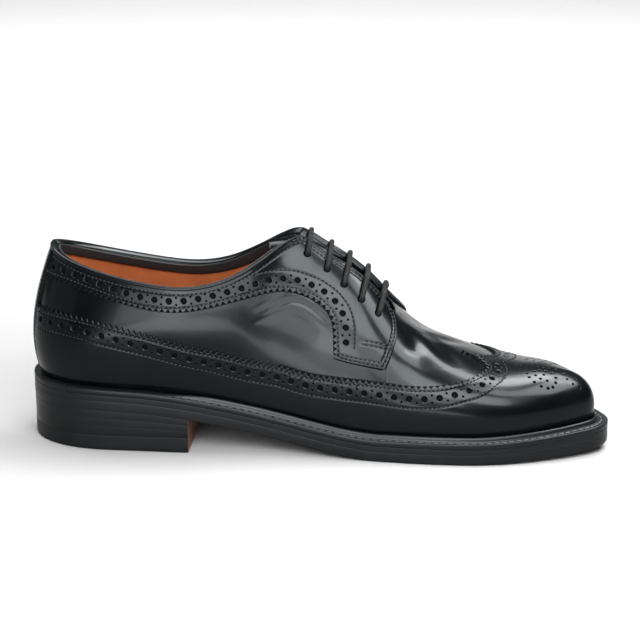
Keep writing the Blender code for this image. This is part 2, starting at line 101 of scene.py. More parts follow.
# column i of a table's rows
def column(table, i):
    return np.array([row[i] for row in table], float)


# one of the last's two-column tables as a spline, read at x
def tableAt(name, x):
    return spline(column(lastShape[name], 0), column(lastShape[name], 1), x)


# vectors over their own length
def unit(v):
    return v / np.maximum(np.linalg.norm(v, axis=-1, keepdims=True), 1e-9)


# running length along a row of points
def runOf(points):
    return np.concatenate([[0], np.cumsum(np.linalg.norm(np.diff(points, axis=0), axis=-1))])


# a line's points read at running lengths, straight between them
def readAt(at, run, points):
    return np.stack([np.interp(at, run, points[:, i]) for i in range(points.shape[1])], -1)


# smooth curve through points, read at evenly spread places along it
def smoothLine(points, count):
    points = np.asarray(points, float)
    run = runOf(points)
    line = spline(run, points, np.linspace(0, run[-1], count * 4))
    run = runOf(line)
    return readAt(np.linspace(0, run[-1], count), run, line)


# a column of the ribs, carried past heel and toe to the other side
def ribColumn(i, s, parity=1):
    st, v = column(lastShape["ribs"], 0), column(lastShape["ribs"], i)
    allS = np.concatenate([-st[3:0:-1], st, 2 - st[-2:-5:-1]])
    allV = np.concatenate([parity * v[3:0:-1], v, v[-2:-5:-1]])
    return spline(allS, allV, s)


# sole edge: one closed spline through its points, by running length
def closedOutline():
    pts = np.array(lastShape["innerEdge"] + [lastShape["toeTip"]] + lastShape["outerEdge"], float)
    lap, steps = 6, 2001
    ring = np.vstack([pts[-lap:], pts, pts[:lap + 1]])
    run = runOf(ring)
    return spline(run, ring, np.linspace(run[lap], run[lap + len(pts)], steps))


outline = closedOutline()
tipIndex = int(np.argmax(outline[:, 0]))
shift = np.append((outline.min(axis=0) + outline.max(axis=0)) / 2, 0.0)


# one side of the outline, heel to toe: points, share of its length run, direction
def sideEdge(side):
    points = outline[:tipIndex + 1] if side == inner else outline[tipIndex:][::-1]
    run = runOf(points)
    along = np.gradient(points, run, axis=0)
    along[0], along[-1] = (0, side), (0, -side)
    return points, run / run[-1], along


edgeTables = {side: sideEdge(side) for side in (inner, outer)}


# point of the sole edge at a station, and its outward direction in plan
def soleEdge(side, s):
    points, run, along = edgeTables[side]
    t = unit(readAt(s, run, along))
    return readAt(s, run, points), np.stack([t[..., 1], -t[..., 0]], -1) * -side


# station where a side of the sole edge reaches x
def stationAt(side, x):
    points, run, _ = edgeTables[side]
    return float(np.interp(x, points[:-1, 0], run[:-1]))


# height of the sole's underside at x: its spline, never below the floor
def underside(x):
    return np.maximum(tableAt("underside", x), 0.0)


# slope of the ridge at x: rise over a short step to both sides
def ridgeSlope(x):
    ribs = lastShape["ribs"][lastShape["ridgeRow"]:]
    xs, zs = column(ribs, 1), column(ribs, 3)
    x, step = np.clip(x, xs[0], xs[-1]), 0.1
    return (spline(xs, zs, x + step) - spline(xs, zs, x - step)) / (2 * step)


# outside of the upper: a cubic curve from the welt (height 0) to collar or ridge (height 1)
def rib(side, s, t):
    s, t = np.broadcast_arrays(np.asarray(s, float), np.asarray(t, float))
    p, out = soleEdge(side, s)
    foot = p - out * tableAt("weltWidth", s)[..., None]
    foot = np.concatenate([foot, (underside(foot[..., 0]) + soleThick + soleLayers["gap"])[..., None]], -1)
    topX, topZ, footOut, footUp, bulge, crown, drop = [ribColumn(i, s) for i in (1, 3, 4, 5, 6, 7, 8)]
    half = np.where(s < lastShape["ridgeStation"], np.maximum(ribColumn(2, s, -1), 0), 0)
    if side == outer:
        reach = np.clip((s - lastShape["dropStation"]) / lastShape["dropReach"], -1, 1)
        topZ = topZ - lastShape["collarDrop"] * (1 + np.cos(np.pi * reach)) / 2
    top = np.stack([topX, tableAt("middle", topX) + side * half, topZ], -1)
    rise = top[..., 2] - foot[..., 2]
    span = np.linalg.norm(top[..., :2] - foot[..., :2], axis=-1)
    out = np.concatenate([out, np.zeros(out.shape[:-1] + (1,))], -1)
    lean = out + up * (out[..., 0] * ridgeSlope(topX))[..., None]
    low = foot + out * footOut[..., None] + up * (footUp * rise)[..., None]
    high = top + out * bulge[..., None] + lean * (crown * span)[..., None] - up * (drop * rise)[..., None]
    k = t[..., None]
    return (1 - k) ** 3 * foot + 3 * (1 - k) ** 2 * k * low + 3 * (1 - k) * k ** 2 * high + k ** 3 * top


# height up each rib where test(points) turns false, by halving
def heightWhere(side, s, test, low=0.0, high=1.0):
    a, b = np.full(np.shape(s), low), np.full(np.shape(s), high)
    for _ in range(26):
        m = (a + b) / 2
        go = test(rib(side, s, m))
        a, b = np.where(go, m, a), np.where(go, b, m)
    return (a + b) / 2


# where the upper ends: collar, facing edge or ridge
def openTop(side, s):
    s = np.asarray(s, float)

    def wideEnough(p):
        return side * (p[..., 1] - tableAt("middle", p[..., 0])) > lastShape["throatHalf"]
    cut = heightWhere(side, s, wideEnough, 0.5, 1.0)
    return np.where((s < lastShape["throatStart"]) | (s > lastShape["throatEnd"]), 1.0, cut)


# height up each rib that lies lift mm over its foot
def liftAbove(side, s, lift):
    foot = rib(side, s, np.zeros(np.shape(s)))[..., 2]
    return heightWhere(side, s, lambda p: p[..., 2] - foot < lift, 0.0, 0.6)


# unit normal of the upper by small steps along and up it
def outward(side, s, t):
    step, low, high = 0.002, 0.003, 0.997
    s, t = np.clip(s, low, high), np.clip(t, low, high)
    along = rib(side, s + step, t) - rib(side, s - step, t)
    rise = rib(side, s, t + step) - rib(side, s, t - step)
    return unit(np.cross(along, rise) * -side)


# Flat pattern of the upper: x = station times 350, y = 0 on the ridge and 60 at the welt,
# minus on the inner side. Toe and heel seams run on into the other side. The ridge is open up to
# openTo, and bands are drawn in steps of bandStep mm.
pattern = dict(along=350.0, across=60.0, openTo=0.63, bandStep=0.5)


# place on the pattern: station by its length, one minus height by its width
def flat(side, s, t):
    s, t = np.broadcast_arrays(np.asarray(s, float), np.asarray(t, float))
    return np.stack([s * pattern["along"], side * (1 - t) * pattern["across"]], -1)


# point of the last at a place on the pattern, flat turned round
def lastPoint(xy):
    s, y = xy[..., 0] / pattern["along"], xy[..., 1]
    side = np.where(y > 0, outer, inner) * np.where((s > 1) | (s < 0), -1, 1)
    s = np.where(s > 1, 2 - s, np.abs(s))
    t = 1 - np.abs(y) / pattern["across"]
    return np.where((side == outer)[..., None], rib(outer, s, t), rib(inner, s, t))


# tangents along and across the pattern, and the outward normal
def tangents(xy):
    h = 0.2
    c = np.array(xy, float)
    sign = np.where(c[..., 1] > 0, 1.0, -1.0)
    openPart = (np.abs(c[..., 1]) < 1.1 * h) & (c[..., 0] < pattern["openTo"] * pattern["along"])
    c[..., 1] = np.where(openPart, sign * 1.1 * h, c[..., 1])
    dx = (lastPoint(c + (h, 0)) - lastPoint(c - (h, 0))) / (2 * h)
    dy = (lastPoint(c + (0, h)) - lastPoint(c - (0, h))) / (2 * h)
    return dx, dy, unit(np.cross(dx, dy))


# step from xy along a direction in space, the length in mm on the surface
def march(xy, direction, length):
    dx, dy, _ = tangents(xy)
    a, b, c = (dx * dx).sum(-1), (dx * dy).sum(-1), (dy * dy).sum(-1)
    px, py = (dx * direction).sum(-1), (dy * direction).sum(-1)
    move = np.stack([c * px - b * py, a * py - b * px], -1) / (a * c - b * b)[..., None]
    return xy + move * np.asarray(length)[..., None]


# curves parallel to a line on the pattern, a step apart up to reach; side picks which way
def bandBeside(line, reach, side):
    rows = [np.array(line, float)]
    for _ in range(int(round(reach / pattern["bandStep"]))):
        now = rows[-1]
        along = unit(np.gradient(lastPoint(now), axis=0))
        across = np.cross(tangents(now)[2], along) * side
        rows.append(march(now, unit(across), pattern["bandStep"]))
    return dict(run=runOf(lastPoint(rows[0])), rows=np.array(rows))


# place in a band: u mm along its line, v mm in from it
def onBand(band, u, v):
    u, v = np.broadcast_arrays(np.asarray(u, float), np.asarray(v, float))
    rows = band["rows"]
    fu = np.interp(u, band["run"], np.arange(rows.shape[1]))
    fv = np.clip(v / pattern["bandStep"], 0, rows.shape[0] - 1.001)
    i, j = np.clip(fu.astype(int), 0, rows.shape[1] - 2), fv.astype(int)
    a, b = (fu - i)[..., None], (fv - j)[..., None]
    return ((rows[j, i] * (1 - a) + rows[j, i + 1] * a) * (1 - b)
            + (rows[j + 1, i] * (1 - a) + rows[j + 1, i + 1] * a) * b)


# rings of n points round centres on the pattern, radius in mm on the surface
def ringsRound(centres, radius, n):
    angle = np.linspace(0, 2 * np.pi, n, endpoint=False)
    dx, _, normal = tangents(centres)
    e1 = unit(dx)
    e2 = np.cross(normal, e1)
    way = e1[:, None] * np.cos(angle)[:, None] + e2[:, None] * np.sin(angle)[:, None]
    start = np.repeat(centres[:, None], n, 1)
    return march(start, way, np.broadcast_to(np.asarray(radius, float)[:, None], (len(centres), n)))


# wear creases, given one by one: side, ends and sag on the pattern as station and height,
# width mm, depth mm (minus for a fold that stands up)
creaseList = [
    (inner, (0.418, 0.690), (0.492, 0.560), 0.012, 1.1, 0.26),
    (inner, (0.410, 0.660), (0.522, 0.508), 0.012, 1.1, 0.42),
    (inner, (0.424, 0.616), (0.515, 0.486), 0.012, 1.1, 0.30),
    (inner, (0.416, 0.588), (0.528, 0.462), 0.012, 1.1, 0.42),
    (inner, (0.404, 0.565), (0.510, 0.436), 0.012, 1.2, 0.32),
    (inner, (0.420, 0.520), (0.520, 0.412), 0.012, 1.2, 0.22),
    (inner, (0.640, 0.930), (0.664, 0.640), 0.020, 5.0, 0.80),
    (inner, (0.662, 0.960), (0.700, 0.600), 0.020, 5.6, -0.75),
    (inner, (0.696, 0.970), (0.732, 0.690), 0.016, 4.6, 0.65),
    (outer, (0.340, 0.690), (0.470, 0.590), 0.024, 1.7, 0.28),
    (outer, (0.350, 0.640), (0.490, 0.530), 0.024, 1.7, 0.30),
    (outer, (0.345, 0.665), (0.480, 0.560), 0.024, 1.7, -0.22),
    (outer, (0.642, 0.930), (0.672, 0.660), 0.020, 5.0, 0.70),
    (outer, (0.670, 0.950), (0.705, 0.690), 0.020, 4.5, -0.45),
    (outer, (0.696, 0.960), (0.730, 0.720), 0.016, 4.0, 0.50)]


# straight between its ends on the pattern, plus a parabola of sag
def creaseLine(side, a, b, sag):
    k = np.linspace(0, 1, 70)
    s = a[0] + (b[0] - a[0]) * k
    t = a[1] + (b[1] - a[1]) * k + sag * 4 * k * (1 - k)
    return rib(side, s, t)


creaseLines = [(creaseLine(side, a, b, sag), width, depth) for side, a, b, sag, width, depth in creaseList]


# soft troughs: depth falls off as a bell with distance from each line and fades at its ends;
# gives the push along the normal and its slope
def creasePush(points):
    flatPoints = points.reshape(-1, 3)
    push, slope = np.zeros(len(flatPoints)), np.zeros_like(flatPoints)
    for line, width, depth in creaseLines:
        low, high = line.min(0) - 3 * width, line.max(0) + 3 * width
        near = np.flatnonzero(((flatPoints > low) & (flatPoints < high)).all(1))
        if len(near) == 0:
            continue
        away = flatPoints[near][:, None] - line[None]
        k = (away ** 2).sum(-1).argmin(1)
        r = away[np.arange(len(near)), k]
        end = np.sin(np.pi * np.clip(k / (len(line) - 1), 0.02, 0.98)) ** 0.8
        bell = -depth * end * np.exp(-(r ** 2).sum(-1) / width ** 2)
        push[near] += bell
        slope[near] += bell[:, None] * -2 * r / width ** 2
    return push.reshape(points.shape[:-1]), slope.reshape(points.shape)


# the leather's surface: last plus creases, and its normal
def skin(xy):
    p, n = lastPoint(xy), tangents(xy)[2]
    push, slope = creasePush(p)
    slope = slope - n * (slope * n).sum(-1, keepdims=True)
    return p + n * push[..., None], unit(n - slope)


# triangles of a grid of rows by cols; flip turns them round
def gridFaces(rows, cols, flip=False):
    i, j = np.meshgrid(np.arange(rows - 1), np.arange(cols - 1), indexing="ij")
    a = (i * cols + j).ravel()
    quad = np.stack([a, a + cols, a + cols + 1, a + 1], 1)
    if flip:
        quad = quad[:, ::-1]
    return np.concatenate([quad[:, [0, 1, 2]], quad[:, [0, 2, 3]]])


# several (points, faces) joined into one
def joined(parts):
    points, faces, start = [], [], 0
    for p, f in parts:
        p = p.reshape(-1, 3)
        points.append(p)
        faces.append(f + start)
        start += len(p)
    return np.concatenate(points), np.concatenate(faces)


# grids in one mesh, each (grid, uv, flip, number of its material): points, triangles, uv, numbers
def joinedSheets(sheets):
    parts = [(grid, gridFaces(*grid.shape[:2], flip)) for grid, _, flip, _ in sheets]
    points, faces = joined(parts)
    uv = np.concatenate([sheet[1].reshape(-1, 2) for sheet in sheets])
    numbers = np.concatenate([np.full(len(part[1]), sheet[3]) for part, sheet in zip(parts, sheets)])
    return points, faces, uv, numbers


# points in the same cell of 0.005 mm become one: a first point per cell, new index of each old point
def weldIndex(points):
    perMm = 200
    _, first, back = np.unique(np.round(points * perMm).astype(np.int64), axis=0,
                               return_index=True, return_inverse=True)
    return first, back.ravel()


# true for triangles with three different corners
def whole(faces):
    a, b, c = faces.T
    return (a != b) & (b != c) & (a != c)


# a mesh of triangles in metres that rides on the root; second is more materials and the number
# of each triangle's material, normals replace the mesh's own, sharp is an angle in degrees
def addPiece(name, points, faces, material, replaced=(), normals=None, uv=None,
             sharp=None, second=None, weld=True):
    corner = None if uv is None else uv[faces]
    if weld:
        first, back = weldIndex(points)
        points, faces = points[first], back[faces]
        normals = None if normals is None else normals[first]
        keep = whole(faces)
        faces = faces[keep]
        corner = None if corner is None else corner[keep]
        second = None if second is None else (second[0], second[1][keep])
    mesh = bpy.data.meshes.new(name)
    mesh.vertices.add(len(points))
    mesh.vertices.foreach_set("co", ((points - shift) * mm).ravel())
    mesh.loops.add(faces.size)
    mesh.loops.foreach_set("vertex_index", faces.ravel().astype(np.int32))
    mesh.polygons.add(len(faces))
    mesh.polygons.foreach_set("loop_start", np.arange(0, faces.size, 3, dtype=np.int32))
    mesh.update(calc_edges=True)
    mesh.polygons.foreach_set("use_smooth", np.ones(len(faces), bool))
    mesh.materials.append(material)
    if second is not None:
        for extra in second[0]:
            mesh.materials.append(extra)
        mesh.polygons.foreach_set("material_index", second[1].astype(np.int32))
    if corner is not None:
        mesh.uv_layers.new(name="run").uv.foreach_set("vector", (corner * mm).ravel())
    if sharp is not None:
        mesh.set_sharp_from_angle(angle=np.radians(sharp))
    if normals is not None:
        mesh.normals_split_custom_set_from_vertices(normals.tolist())
    piece = bpy.data.objects.new(name, mesh)
    bpy.context.scene.collection.objects.link(piece)
    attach(piece, "root")
    if replaced:
        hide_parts(*replaced)
    print("piece", name, "triangles", len(faces))
    return piece


# a wall of thick mm, inward from the surface
def thicken(piece, thick):
    wall = piece.modifiers.new("wall", "SOLIDIFY")
    wall.thickness, wall.offset = thick * mm, -1.0


# sRGB hex to linear light: over 12.92 when dark, else (c + 0.055) / 1.055 to the power 2.4
def linear(hexColour):
    c = np.array([int(hexColour[i:i + 2], 16) for i in (1, 3, 5)]) / 255
    return (*np.where(c <= 0.04045, c / 12.92, ((c + 0.055) / 1.055) ** 2.4), 1.0)


# sets a node's inputs by name or number: a link where a socket is given, else a value
def fill(tree, node, inputs):
    for key, value in inputs.items():
        if isinstance(value, bpy.types.NodeSocket):
            tree.links.new(value, node.inputs[key])
        else:
            node.inputs[key].default_value = value


# adds a node: settings by name, inputs as fill takes them
def addNode(tree, kind, inputs=None, **settings):
    made = tree.nodes.new("ShaderNode" + kind)
    for key, value in settings.items():
        setattr(made, key, value)
    fill(tree, made, inputs or {})
    return made


# a new material, its tree and its shader
def newMaterial(name):
    material = bpy.data.materials.new(name)
    material.use_nodes = True
    tree = material.node_tree
    return material, tree, tree.nodes["Principled BSDF"]


# place on the object in metres
def placeOf(tree):
    return addNode(tree, "TexCoord").outputs["Object"]


# running length along and across a piece, in metres
def runUv(tree):
    return addNode(tree, "UVMap", uv_map="run").outputs[0]


# cloudy noise with a scale of one over size mm
def noise(tree, vector, size, detail):
    inputs = {"Vector": vector, "Scale": 1 / (size * mm), "Detail": detail}
    return addNode(tree, "TexNoise", inputs).outputs["Fac"]


# distance from the nearest of scattered points, about size mm apart
def pores(tree, vector, size):
    return addNode(tree, "TexVoronoi", {"Vector": vector, "Scale": 1 / (size * mm)}).outputs["Distance"]


# colour from dark to light by share
def mixed(tree, share, dark, light):
    return addNode(tree, "Mix", {0: share, 6: linear(dark), 7: linear(light)}, data_type="RGBA").outputs[2]


# normal tilted by a height map, on top of another bump where one is given
def bumped(tree, height, strength, depth, under=None):
    inputs = {"Height": height, "Strength": strength, "Distance": depth}
    if under is not None:
        inputs["Normal"] = under
    return addNode(tree, "Bump", inputs).outputs["Normal"]


# share stretched from one range to another
def ranged(tree, share, **limits):
    names = dict(fromLow="From Min", fromHigh="From Max", low="To Min", high="To Max")
    return addNode(tree, "MapRange", {"Value": share, **{names[k]: v for k, v in limits.items()}}).outputs[0]


# Box calf, drum dyed black, glazed and polished: fine pores, soft cloudy gloss under a wax film
calfLook = dict(dark="#010203", light="#030405", sheen="#eefaff", roughLow=0.20, roughHigh=0.30,
                poreMm=0.55, cloudMm=22, rippleMm=1.6)


# cloud sets colour and gloss, pores and ripple set the relief
def polishedCalf():
    look = calfLook
    material, tree, shader = newMaterial("boxCalfPolished")
    place = placeOf(tree)
    cloud = noise(tree, place, look["cloudMm"], 3.0)
    rough = ranged(tree, cloud, fromLow=0.3, fromHigh=0.7, low=look["roughLow"], high=look["roughHigh"])
    grain = bumped(tree, pores(tree, place, look["poreMm"]), 0.10, 0.00005)
    ripple = bumped(tree, noise(tree, place, look["rippleMm"], 4.0), 0.12, 0.00012, grain)
    fill(tree, shader, {"Base Color": mixed(tree, cloud, look["dark"], look["light"]), "Roughness": rough,
                        "IOR": 1.5, "Normal": ripple, "Specular IOR Level": 0.10, "Coat Weight": 0.07,
                        "Specular Tint": linear(look["sheen"]), "Coat Roughness": 0.10, "Coat IOR": 1.5})
    return material


# Vegetable-tanned calf lining, undyed: warm tan, open pores, almost matt, darker in clouds
def tanLining():
    material, tree, shader = newMaterial("calfLiningVegTanned")
    place = placeOf(tree)
    cloud = noise(tree, place, 14, 5.0)
    fill(tree, shader, {"Base Color": mixed(tree, cloud, "#642f13", "#8e4b20"),
                        "Roughness": ranged(tree, cloud, low=0.5, high=0.68),
                        "Normal": bumped(tree, pores(tree, place, 0.9), 0.35, 0.0002)})
    return material


# the same hide dyed black, left unpolished on the inside of the collar
def mattCalf():
    material, tree, shader = newMaterial("calfLiningBlack")
    place = placeOf(tree)
    fill(tree, shader, {"Base Color": mixed(tree, noise(tree, place, 9, 4.0), "#060607", "#0d0e0f"),
                        "Roughness": 0.55, "Specular IOR Level": 0.3,
                        "Normal": bumped(tree, pores(tree, place, 0.9), 0.3, 0.0002)})
    return material


# Oak-bark sole leather left natural: orange brown, fibrous, matt
def naturalSole():
    material, tree, shader = newMaterial("soleLeatherNatural")
    place = placeOf(tree)
    stretch = addNode(tree, "Mapping", {"Vector": place, "Scale": (1.0, 1.0, 4.0)})
    fibre = noise(tree, stretch.outputs[0], 1.2, 6.0)
    tone = addNode(tree, "Math", {0: fibre, 1: noise(tree, place, 18, 3.0)}, operation="MULTIPLY")
    spread = ranged(tree, tone.outputs[0], fromLow=0.1, fromHigh=0.42)
    fill(tree, shader, {"Base Color": mixed(tree, spread, "#3a1c0c", "#603718"), "Roughness": 0.62,
                        "Normal": bumped(tree, fibre, 0.4, 0.0002)})
    return material


# Sole edge, inked black and hot waxed with an iron: satin, faint drawn lines along the edge
def inkedEdge(name, roughness):
    material, tree, shader = newMaterial(name)
    run = runUv(tree)
    stretch = addNode(tree, "Mapping", {"Vector": run, "Scale": (1 / (26 * mm), 1 / (0.7 * mm), 1.0)})
    lines = addNode(tree, "TexNoise", {"Vector": stretch.outputs[0], "Scale": 1.0, "Detail": 5.0})
    drawn = lines.outputs["Fac"]
    rough = ranged(tree, noise(tree, run, 9, 3.0), fromLow=0.3, fromHigh=0.7,
                   low=roughness - 0.06, high=roughness + 0.08)
    fill(tree, shader, {"Base Color": mixed(tree, drawn, "#040506", "#0b0d0e"), "Roughness": rough,
                        "Normal": bumped(tree, drawn, 0.15, 0.0002), "Specular IOR Level": 0.16})
    return material


# Round waxed cotton lace, braided: two crossing sets of strands, dull sheen
def waxedLace():
    material, tree, shader = newMaterial("waxedCottonLace")
    run, waves = runUv(tree), []
    # strands about 1 mm wide, a little coarse so that they show
    for turn in (0.75, -0.75):
        crossing = addNode(tree, "Mapping", {"Vector": run, "Rotation": (0, 0, turn)})
        waves.append(addNode(tree, "TexWave", {"Vector": crossing.outputs[0], "Scale": 1 / (3.4 * mm),
                                               "Distortion": 0.4}).outputs["Fac"])
    braid = addNode(tree, "Math", {0: waves[0], 1: waves[1]}, operation="MAXIMUM").outputs[0]
    fill(tree, shader, {"Base Color": mixed(tree, braid, "#020202", "#0a0b0c"), "Roughness": 0.5,
                        "Normal": bumped(tree, braid, 0.8, 0.0004), "Specular IOR Level": 0.10})
    return material


# a dull surface: one noise sets its colour, from dark to light, and its relief
def roughSurface(name, dark, light, size, detail, relief, depth, roughness, shine):
    material, tree, shader = newMaterial(name)
    grain = noise(tree, placeOf(tree), size, detail)
    fill(tree, shader, {"Base Color": mixed(tree, grain, dark, light), "Roughness": roughness,
                        "Normal": bumped(tree, grain, relief, depth), "Specular IOR Level": shine})
    return material


calf = polishedCalf()
# painted shade: matt near-black for the discs in the punched holes, the strips under the edges and the
# needle-hole dots, standing in for the shade there; also the cut walls
paintedShadeBlack = roughSurface("paintedShadeMattBlack", "#020203", "#060708", 0.6, 4.0, 0.5, 0.0001, 0.9, 0.05)
calfMatt = mattCalf()
lining = tanLining()
soleNatural = naturalSole()
edgeInk = inkedEdge("soleEdgeInkedWaxed", 0.36)
heelInk = inkedEdge("heelStackInkedWaxed", 0.34)
topRubber = inkedEdge("topPieceRubber", 0.45)      # black rubber with trimmed sides, duller than the edge
# black welt leather, burnished on rim and bead, roughened in the stitched channel
weltLeather = roughSurface("weltLeatherBurnished", "#050607", "#0e1011", 1.1, 4.0, 0.2, 0.0003, 0.34, 0.14)
weltChannel = roughSurface("weltLeatherChannel", "#050607", "#0e1011", 1.1, 4.0, 0.7, 0.0003, 0.55, 0.12)
# waxed thread with a slight twist: bonded black polyester on the upper, grey linen on the welt
thread = roughSurface("polyesterThreadBlack", "#0b0d0f", "#181b1e", 0.8, 2.0, 0.3, 0.0001, 0.4, 0.22)
weltThread = roughSurface("linenThreadGrey", "#202224", "#44474a", 0.8, 2.0, 0.3, 0.0001, 0.4, 0.22)
laceCotton = waxedLace()
print("materials made:", len(bpy.data.materials))


# Stitches
threadSizes = dict(pitch=2.3, size=(1.35, 0.66, 0.5), slant=0.12, sink=-0.06, pit=(0.95, 0.95, 0.4),
                   weltSize=(3.1, 1.0, 0.7), rowStep=0.9)
# centres, directions and normals, for one mesh each at the end
stitchRows, needleShadeRows, weltRows = [], [], []


# n capsules: a round bar with flattened ends, 6 round by 4 along, set along each direction
def capsules(centres, along, normals, length, width, height):
    across = np.cross(normals, along)
    k = np.array([-0.5, -0.36, 0.0, 0.36, 0.5])
    girth = np.array([0.25, 0.85, 1.0, 0.85, 0.25])
    angle = np.linspace(0, 2 * np.pi, 6, endpoint=False)
    ring = np.stack([np.cos(angle) * width / 2, np.sin(angle) * height / 2], -1)
    pts = (centres[:, None, None] + along[:, None, None] * (k * length)[:, None, None]
           + across[:, None, None] * (girth[:, None] * ring[:, 0])[..., None]
           + normals[:, None, None] * (girth[:, None] * ring[:, 1])[..., None])
    body = gridFaces(5, 7)
    body = np.where(body % 7 == 6, body - 6, body)
    body = body // 7 * 6 + body % 7
    fan = np.array([[0, i + 1, i] for i in range(1, 5)])
    one = np.concatenate([body[:, ::-1], fan[:, ::-1], fan + 24])
    faces = one[None] + (np.arange(len(centres)) * 30)[:, None, None]
    return pts.reshape(-1, 3), faces.reshape(-1, 3)


# evenly spaced stitches along a line on the pattern, lifted off the leather, with a painted-shade black dot
# for the needle hole between two
def sewLine(line, lift):
    p, n = skin(line)
    p = p + n * lift
    run, reach = runOf(p), 0.4
    count = max(int(run[-1] / threadSizes["pitch"]), 1)
    at = (np.arange(count) + 0.5) * run[-1] / count
    normal = unit(readAt(at, run, n))
    along = unit(readAt(at + reach, run, p) - readAt(at - reach, run, p))
    pit = readAt(at + 0.5 * run[-1] / count, run, p) - normal * threadSizes["sink"]
    # painted shade: a flat black capsule on the leather stands for the dark needle hole
    needleShadeRows.append((pit, along, normal))
    along = unit(along + np.cross(normal, along) * threadSizes["slant"])
    stitchRows.append((readAt(at, run, p), along, normal))


# points of a stitch row along a band, v mm in from its line
def rowOn(band, start, end, v):
    return onBand(band, np.arange(start, end, threadSizes["rowStep"]), v)


# Cut sheets of leather with pinked edges and punched holes
# the last five sizes set the painted-shade black strips under the edges: step, inside, wide, outside and
# plain width
sheetSizes = dict(top=1.65, bottom=0.0, chamfer=0.38, bevel=0.5, grain=1.35, groove=0.15, grooveWidth=0.5,
                  toothPitch=3.2, toothDepth=2.1, smallChamfer=0.2, smallBevel=0.2, bigFrom=1.0,
                  shadeStep=0.8, shadeInside=0.2, shadeWide=2.6, shadeOutside=0.6, plainWide=1.2)


# true where a point is further than reach from every mark, on a raster of 0.2
def farFrom(points, marks, reach):
    cell = 0.2
    low = np.minimum(points.min(0), marks.min(0)) - 3
    size = ((np.maximum(points.max(0), marks.max(0)) + 3 - low) / cell).astype(int) + 1
    hit = np.zeros(size + 1)
    at = ((marks - low) / cell).astype(int)
    hit[at[:, 0] + 1, at[:, 1] + 1] = 1
    total = hit.cumsum(0).cumsum(1)
    k = int(round(reach / cell))
    a = ((points - low) / cell).astype(int)
    x0, y0 = np.maximum(a - k, 0).T
    x1, y1 = np.minimum(a + k + 1, size).T
    return total[x1, y1] - total[x0, y1] - total[x1, y0] + total[x0, y0] == 0


# true where a place on the pattern is further than reach mm from every centre
def clearOf(places, centres, reach):
    away = np.linalg.norm(lastPoint(places)[:, None] - lastPoint(centres)[None], axis=-1)
    return (away > reach[None]).all(1)


# grooves under the stitch rows: bell of depth over width, with its slope
def groovePush(points, lines):
    push, slope = np.zeros(len(points)), np.zeros_like(points)
    w = sheetSizes["grooveWidth"]
    for line in lines:
        for chunk in np.array_split(np.arange(len(line)), max(len(line) // 40, 1)):
            part = line[chunk]
            near = np.flatnonzero(((points > part.min(0) - 3 * w) & (points < part.max(0) + 3 * w)).all(1))
            if len(near) == 0:
                continue
            away = points[near][:, None] - part[None]
            k = (away ** 2).sum(-1).argmin(1)
            r = away[np.arange(len(near)), k]
            bell = -sheetSizes["groove"] * np.exp(-(r ** 2).sum(-1) / w ** 2)
            better = bell < push[near]
            push[near] = np.where(better, bell, push[near])
            slope[near] = np.where(better[:, None], bell[:, None] * -2 * r / w ** 2, slope[near])
    return push, slope


punched, shadeStrips = [], []      # holes and edge strips that get painted shade, a matt black disc or strip


# painted shade: a matt black strip under an edge, reach mm out from the edge line (minus stays under the
# sheet), wide mm in
def shadeStripUnder(band, start, end, reach, wide):
    u = np.arange(start, end, sheetSizes["shadeStep"])
    rows = [onBand(band, u, v) for v in (max(-reach, 0.0), wide * 0.5, wide)]
    if reach > 0:
        k = reach / pattern["bandStep"]
        rows[0] = rows[0] * (1 + k) - onBand(band, u, pattern["bandStep"]) * k
    shadeStrips.append(np.stack(rows, 1))


# painted shade: black discs in the holes and strips under the edges, a little above the leather below,
# standing in for the shade in the holes and between the teeth
def buildPaintedShade():
    parts = []
    for grid in shadeStrips:
        p, n = skin(grid)
        rows, cols = grid.shape[:2]
        faces = gridFaces(rows, cols)
        turn = np.cross(grid[1, 0] - grid[0, 0], grid[0, 1] - grid[0, 0]) < 0
        parts.append((p + n * 0.25, faces[:, ::-1] if turn else faces))
    for centres, radii in punched:
        rings = ringsRound(centres, radii + 0.12, 12)
        p, n = skin(np.concatenate([centres[:, None], rings], 1))
        k = np.arange(12)
        fan = np.stack([0 * k, k + 1, (k + 1) % 12 + 1], 1)
        faces = fan[None] + (np.arange(len(centres)) * 13)[:, None, None]
        parts.append((p + n * 0.22, faces.reshape(-1, 3)))
    points, faces = joined(parts)
    thicken(addPiece("painted_shade_discs_strips", points, faces, paintedShadeBlack, weld=False), 0.18)


